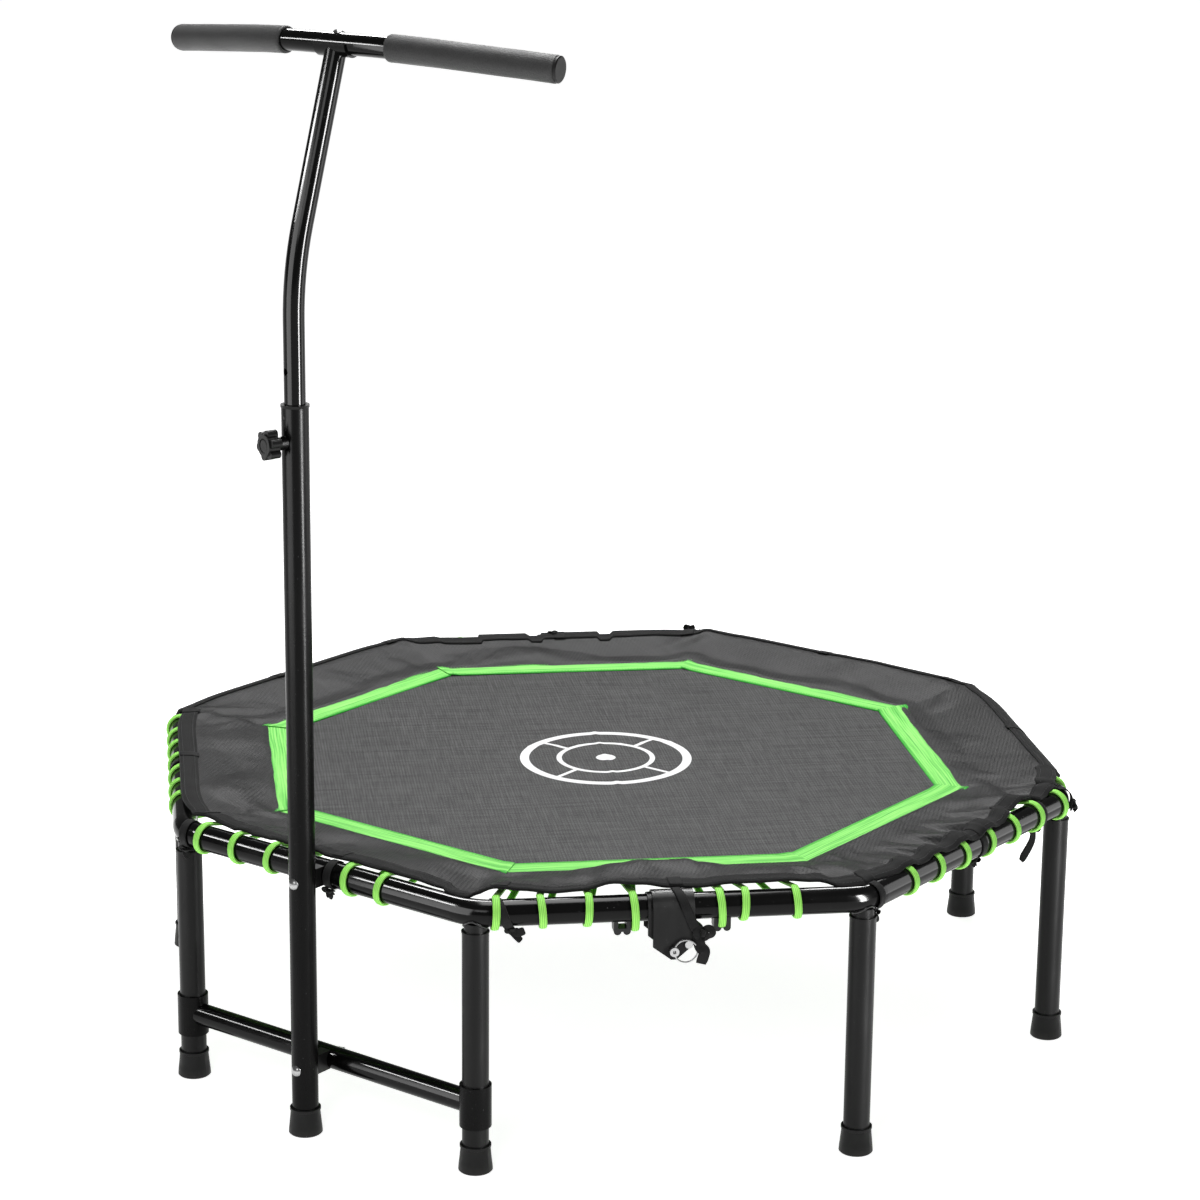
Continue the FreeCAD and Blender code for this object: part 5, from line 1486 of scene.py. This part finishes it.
def build_floor():
    mesh = bpy.data.meshes.new("studio_floor")
    reach = 45.0
    corners = [(-reach, -reach, 0), (reach, -reach, 0), (reach, reach, 0), (-reach, reach, 0)]
    mesh.from_pydata(corners, [], [(0, 1, 2, 3)])
    floor = bpy.data.objects.new("studio_floor", mesh)
    bpy.context.scene.collection.objects.link(floor)
    s = Shader("pale_floor", Specular_IOR_Level=0.1, Emission_Color=grey(1.0), Emission_Strength=0.88)
    mottle = s.noise(s.place(), 3.0, 3.0)
    s.set("Base Color", s.mix(mottle, grey(0.86), grey(0.90)))
    s.set("Roughness", s.remap(mottle, 0.3, 0.7, 0.6, 0.75))
    mesh.materials.append(s.material)


def area_light(name, place, target, size, power, paint_only=False):
    light = bpy.data.lights.new(name, "AREA")
    light.shape = "RECTANGLE"
    light.size, light.size_y = size
    light.energy = power
    lamp = bpy.data.objects.new(name, light)
    lamp.location = place
    lamp.rotation_mode = "QUATERNION"
    lamp.rotation_quaternion = (Vector(target) - Vector(place)).to_track_quat("-Z", "Y")
    lamp.visible_camera = False
    bpy.context.scene.collection.objects.link(lamp)
    if paint_only:
        lamp.light_linking.receiver_collection = NOT_PAINT


def left_out_of_strips():
    """The cloth, cord, foam, rubber, bright metal and floor, which the paint's strip lights leave alone."""
    group = bpy.data.collections.new("not_paint")
    painted = FINISHES[GLOSS] + FINISHES[POST_PAINT] + FINISHES[SATIN] + FINISHES[PLATE]
    painted = [frame["nodes"][name] for name in painted]
    for piece in bpy.context.scene.objects:
        if piece.type == "MESH" and piece not in painted:
            group.objects.link(piece)
    for entry in group.collection_objects:
        entry.light_linking.link_state = "EXCLUDE"
    return group


def build_light():
    world = bpy.data.worlds.new("studio")
    world.use_nodes = True
    background = world.node_tree.nodes["Background"]
    background.inputs["Color"].default_value = (1, 1, 1, 1)
    background.inputs["Strength"].default_value = 0.15
    bpy.context.scene.world = world
    area_light("overhead", (-0.2, 0.3, 3.2), (0, 0, 0.3), (1.1, 2.0), 98)
    area_light("back_box", (-1.7, 2.3, 2.6), (0, 0, 0.3), (2.4, 1.2), 36)
    area_light("top_strip", (-1.1, 1.6, 2.6), (0, 0, 0.3), (2.2, 0.4), 150, True)
    area_light("front_fill", (1.4, -3.6, 2.6), (0, 0, 0.4), (1.4, 1.0), 30)
    area_light("left_panel", (-0.5, -2.45, 1.0), (0, -0.57, 0.7), (1.8, 2.0), 125, True)
    area_light("right_strip", (2.35, -0.35, 0.9), (0, -0.57, 0.7), (0.4, 1.9), 330, True)
    area_light("right_panel", (2.0, 1.6, 0.9), (0, 0, 0.6), (1.4, 1.8), 40, True)
    area_light("key_strip", (-1.6, -2.0, 1.9), (-1.6, -0.55, 0.3), (1.3, 0.22), 90, True)


CAMERA_AZIMUTH = math.radians(37.03)
CAMERA_ELEVATION = math.radians(14.914)
CAMERA_ROLL = math.radians(0.56)
CAMERA_DISTANCE = 4.2607
CAMERA_LENS = 97.43
CAMERA_SENSOR = 36.0


def build_camera():
    right = Vector((math.cos(CAMERA_AZIMUTH), math.sin(CAMERA_AZIMUTH), 0))
    back = Vector((math.sin(CAMERA_AZIMUTH) * math.cos(CAMERA_ELEVATION),
                   -math.cos(CAMERA_AZIMUTH) * math.cos(CAMERA_ELEVATION), math.sin(CAMERA_ELEVATION)))
    up = back.cross(right)
    target = Vector((CENTRE.x, CENTRE.y, 0.5435)) - right * 0.0097
    level_right = right * math.cos(CAMERA_ROLL) + up * math.sin(CAMERA_ROLL)
    level_up = up * math.cos(CAMERA_ROLL) - right * math.sin(CAMERA_ROLL)
    lens = bpy.data.cameras.new("camera")
    lens.sensor_width = CAMERA_SENSOR
    lens.lens = CAMERA_LENS
    camera = bpy.data.objects.new("camera", lens)
    turn = Matrix((level_right, level_up, back)).transposed().to_4x4()
    camera.matrix_world = Matrix.Translation(target + back * CAMERA_DISTANCE) @ turn
    bpy.context.scene.collection.objects.link(camera)
    bpy.context.scene.camera = camera


build_floor()
NOT_PAINT = left_out_of_strips()
build_light()
build_camera()
bpy.context.scene.view_settings.view_transform = "Standard"
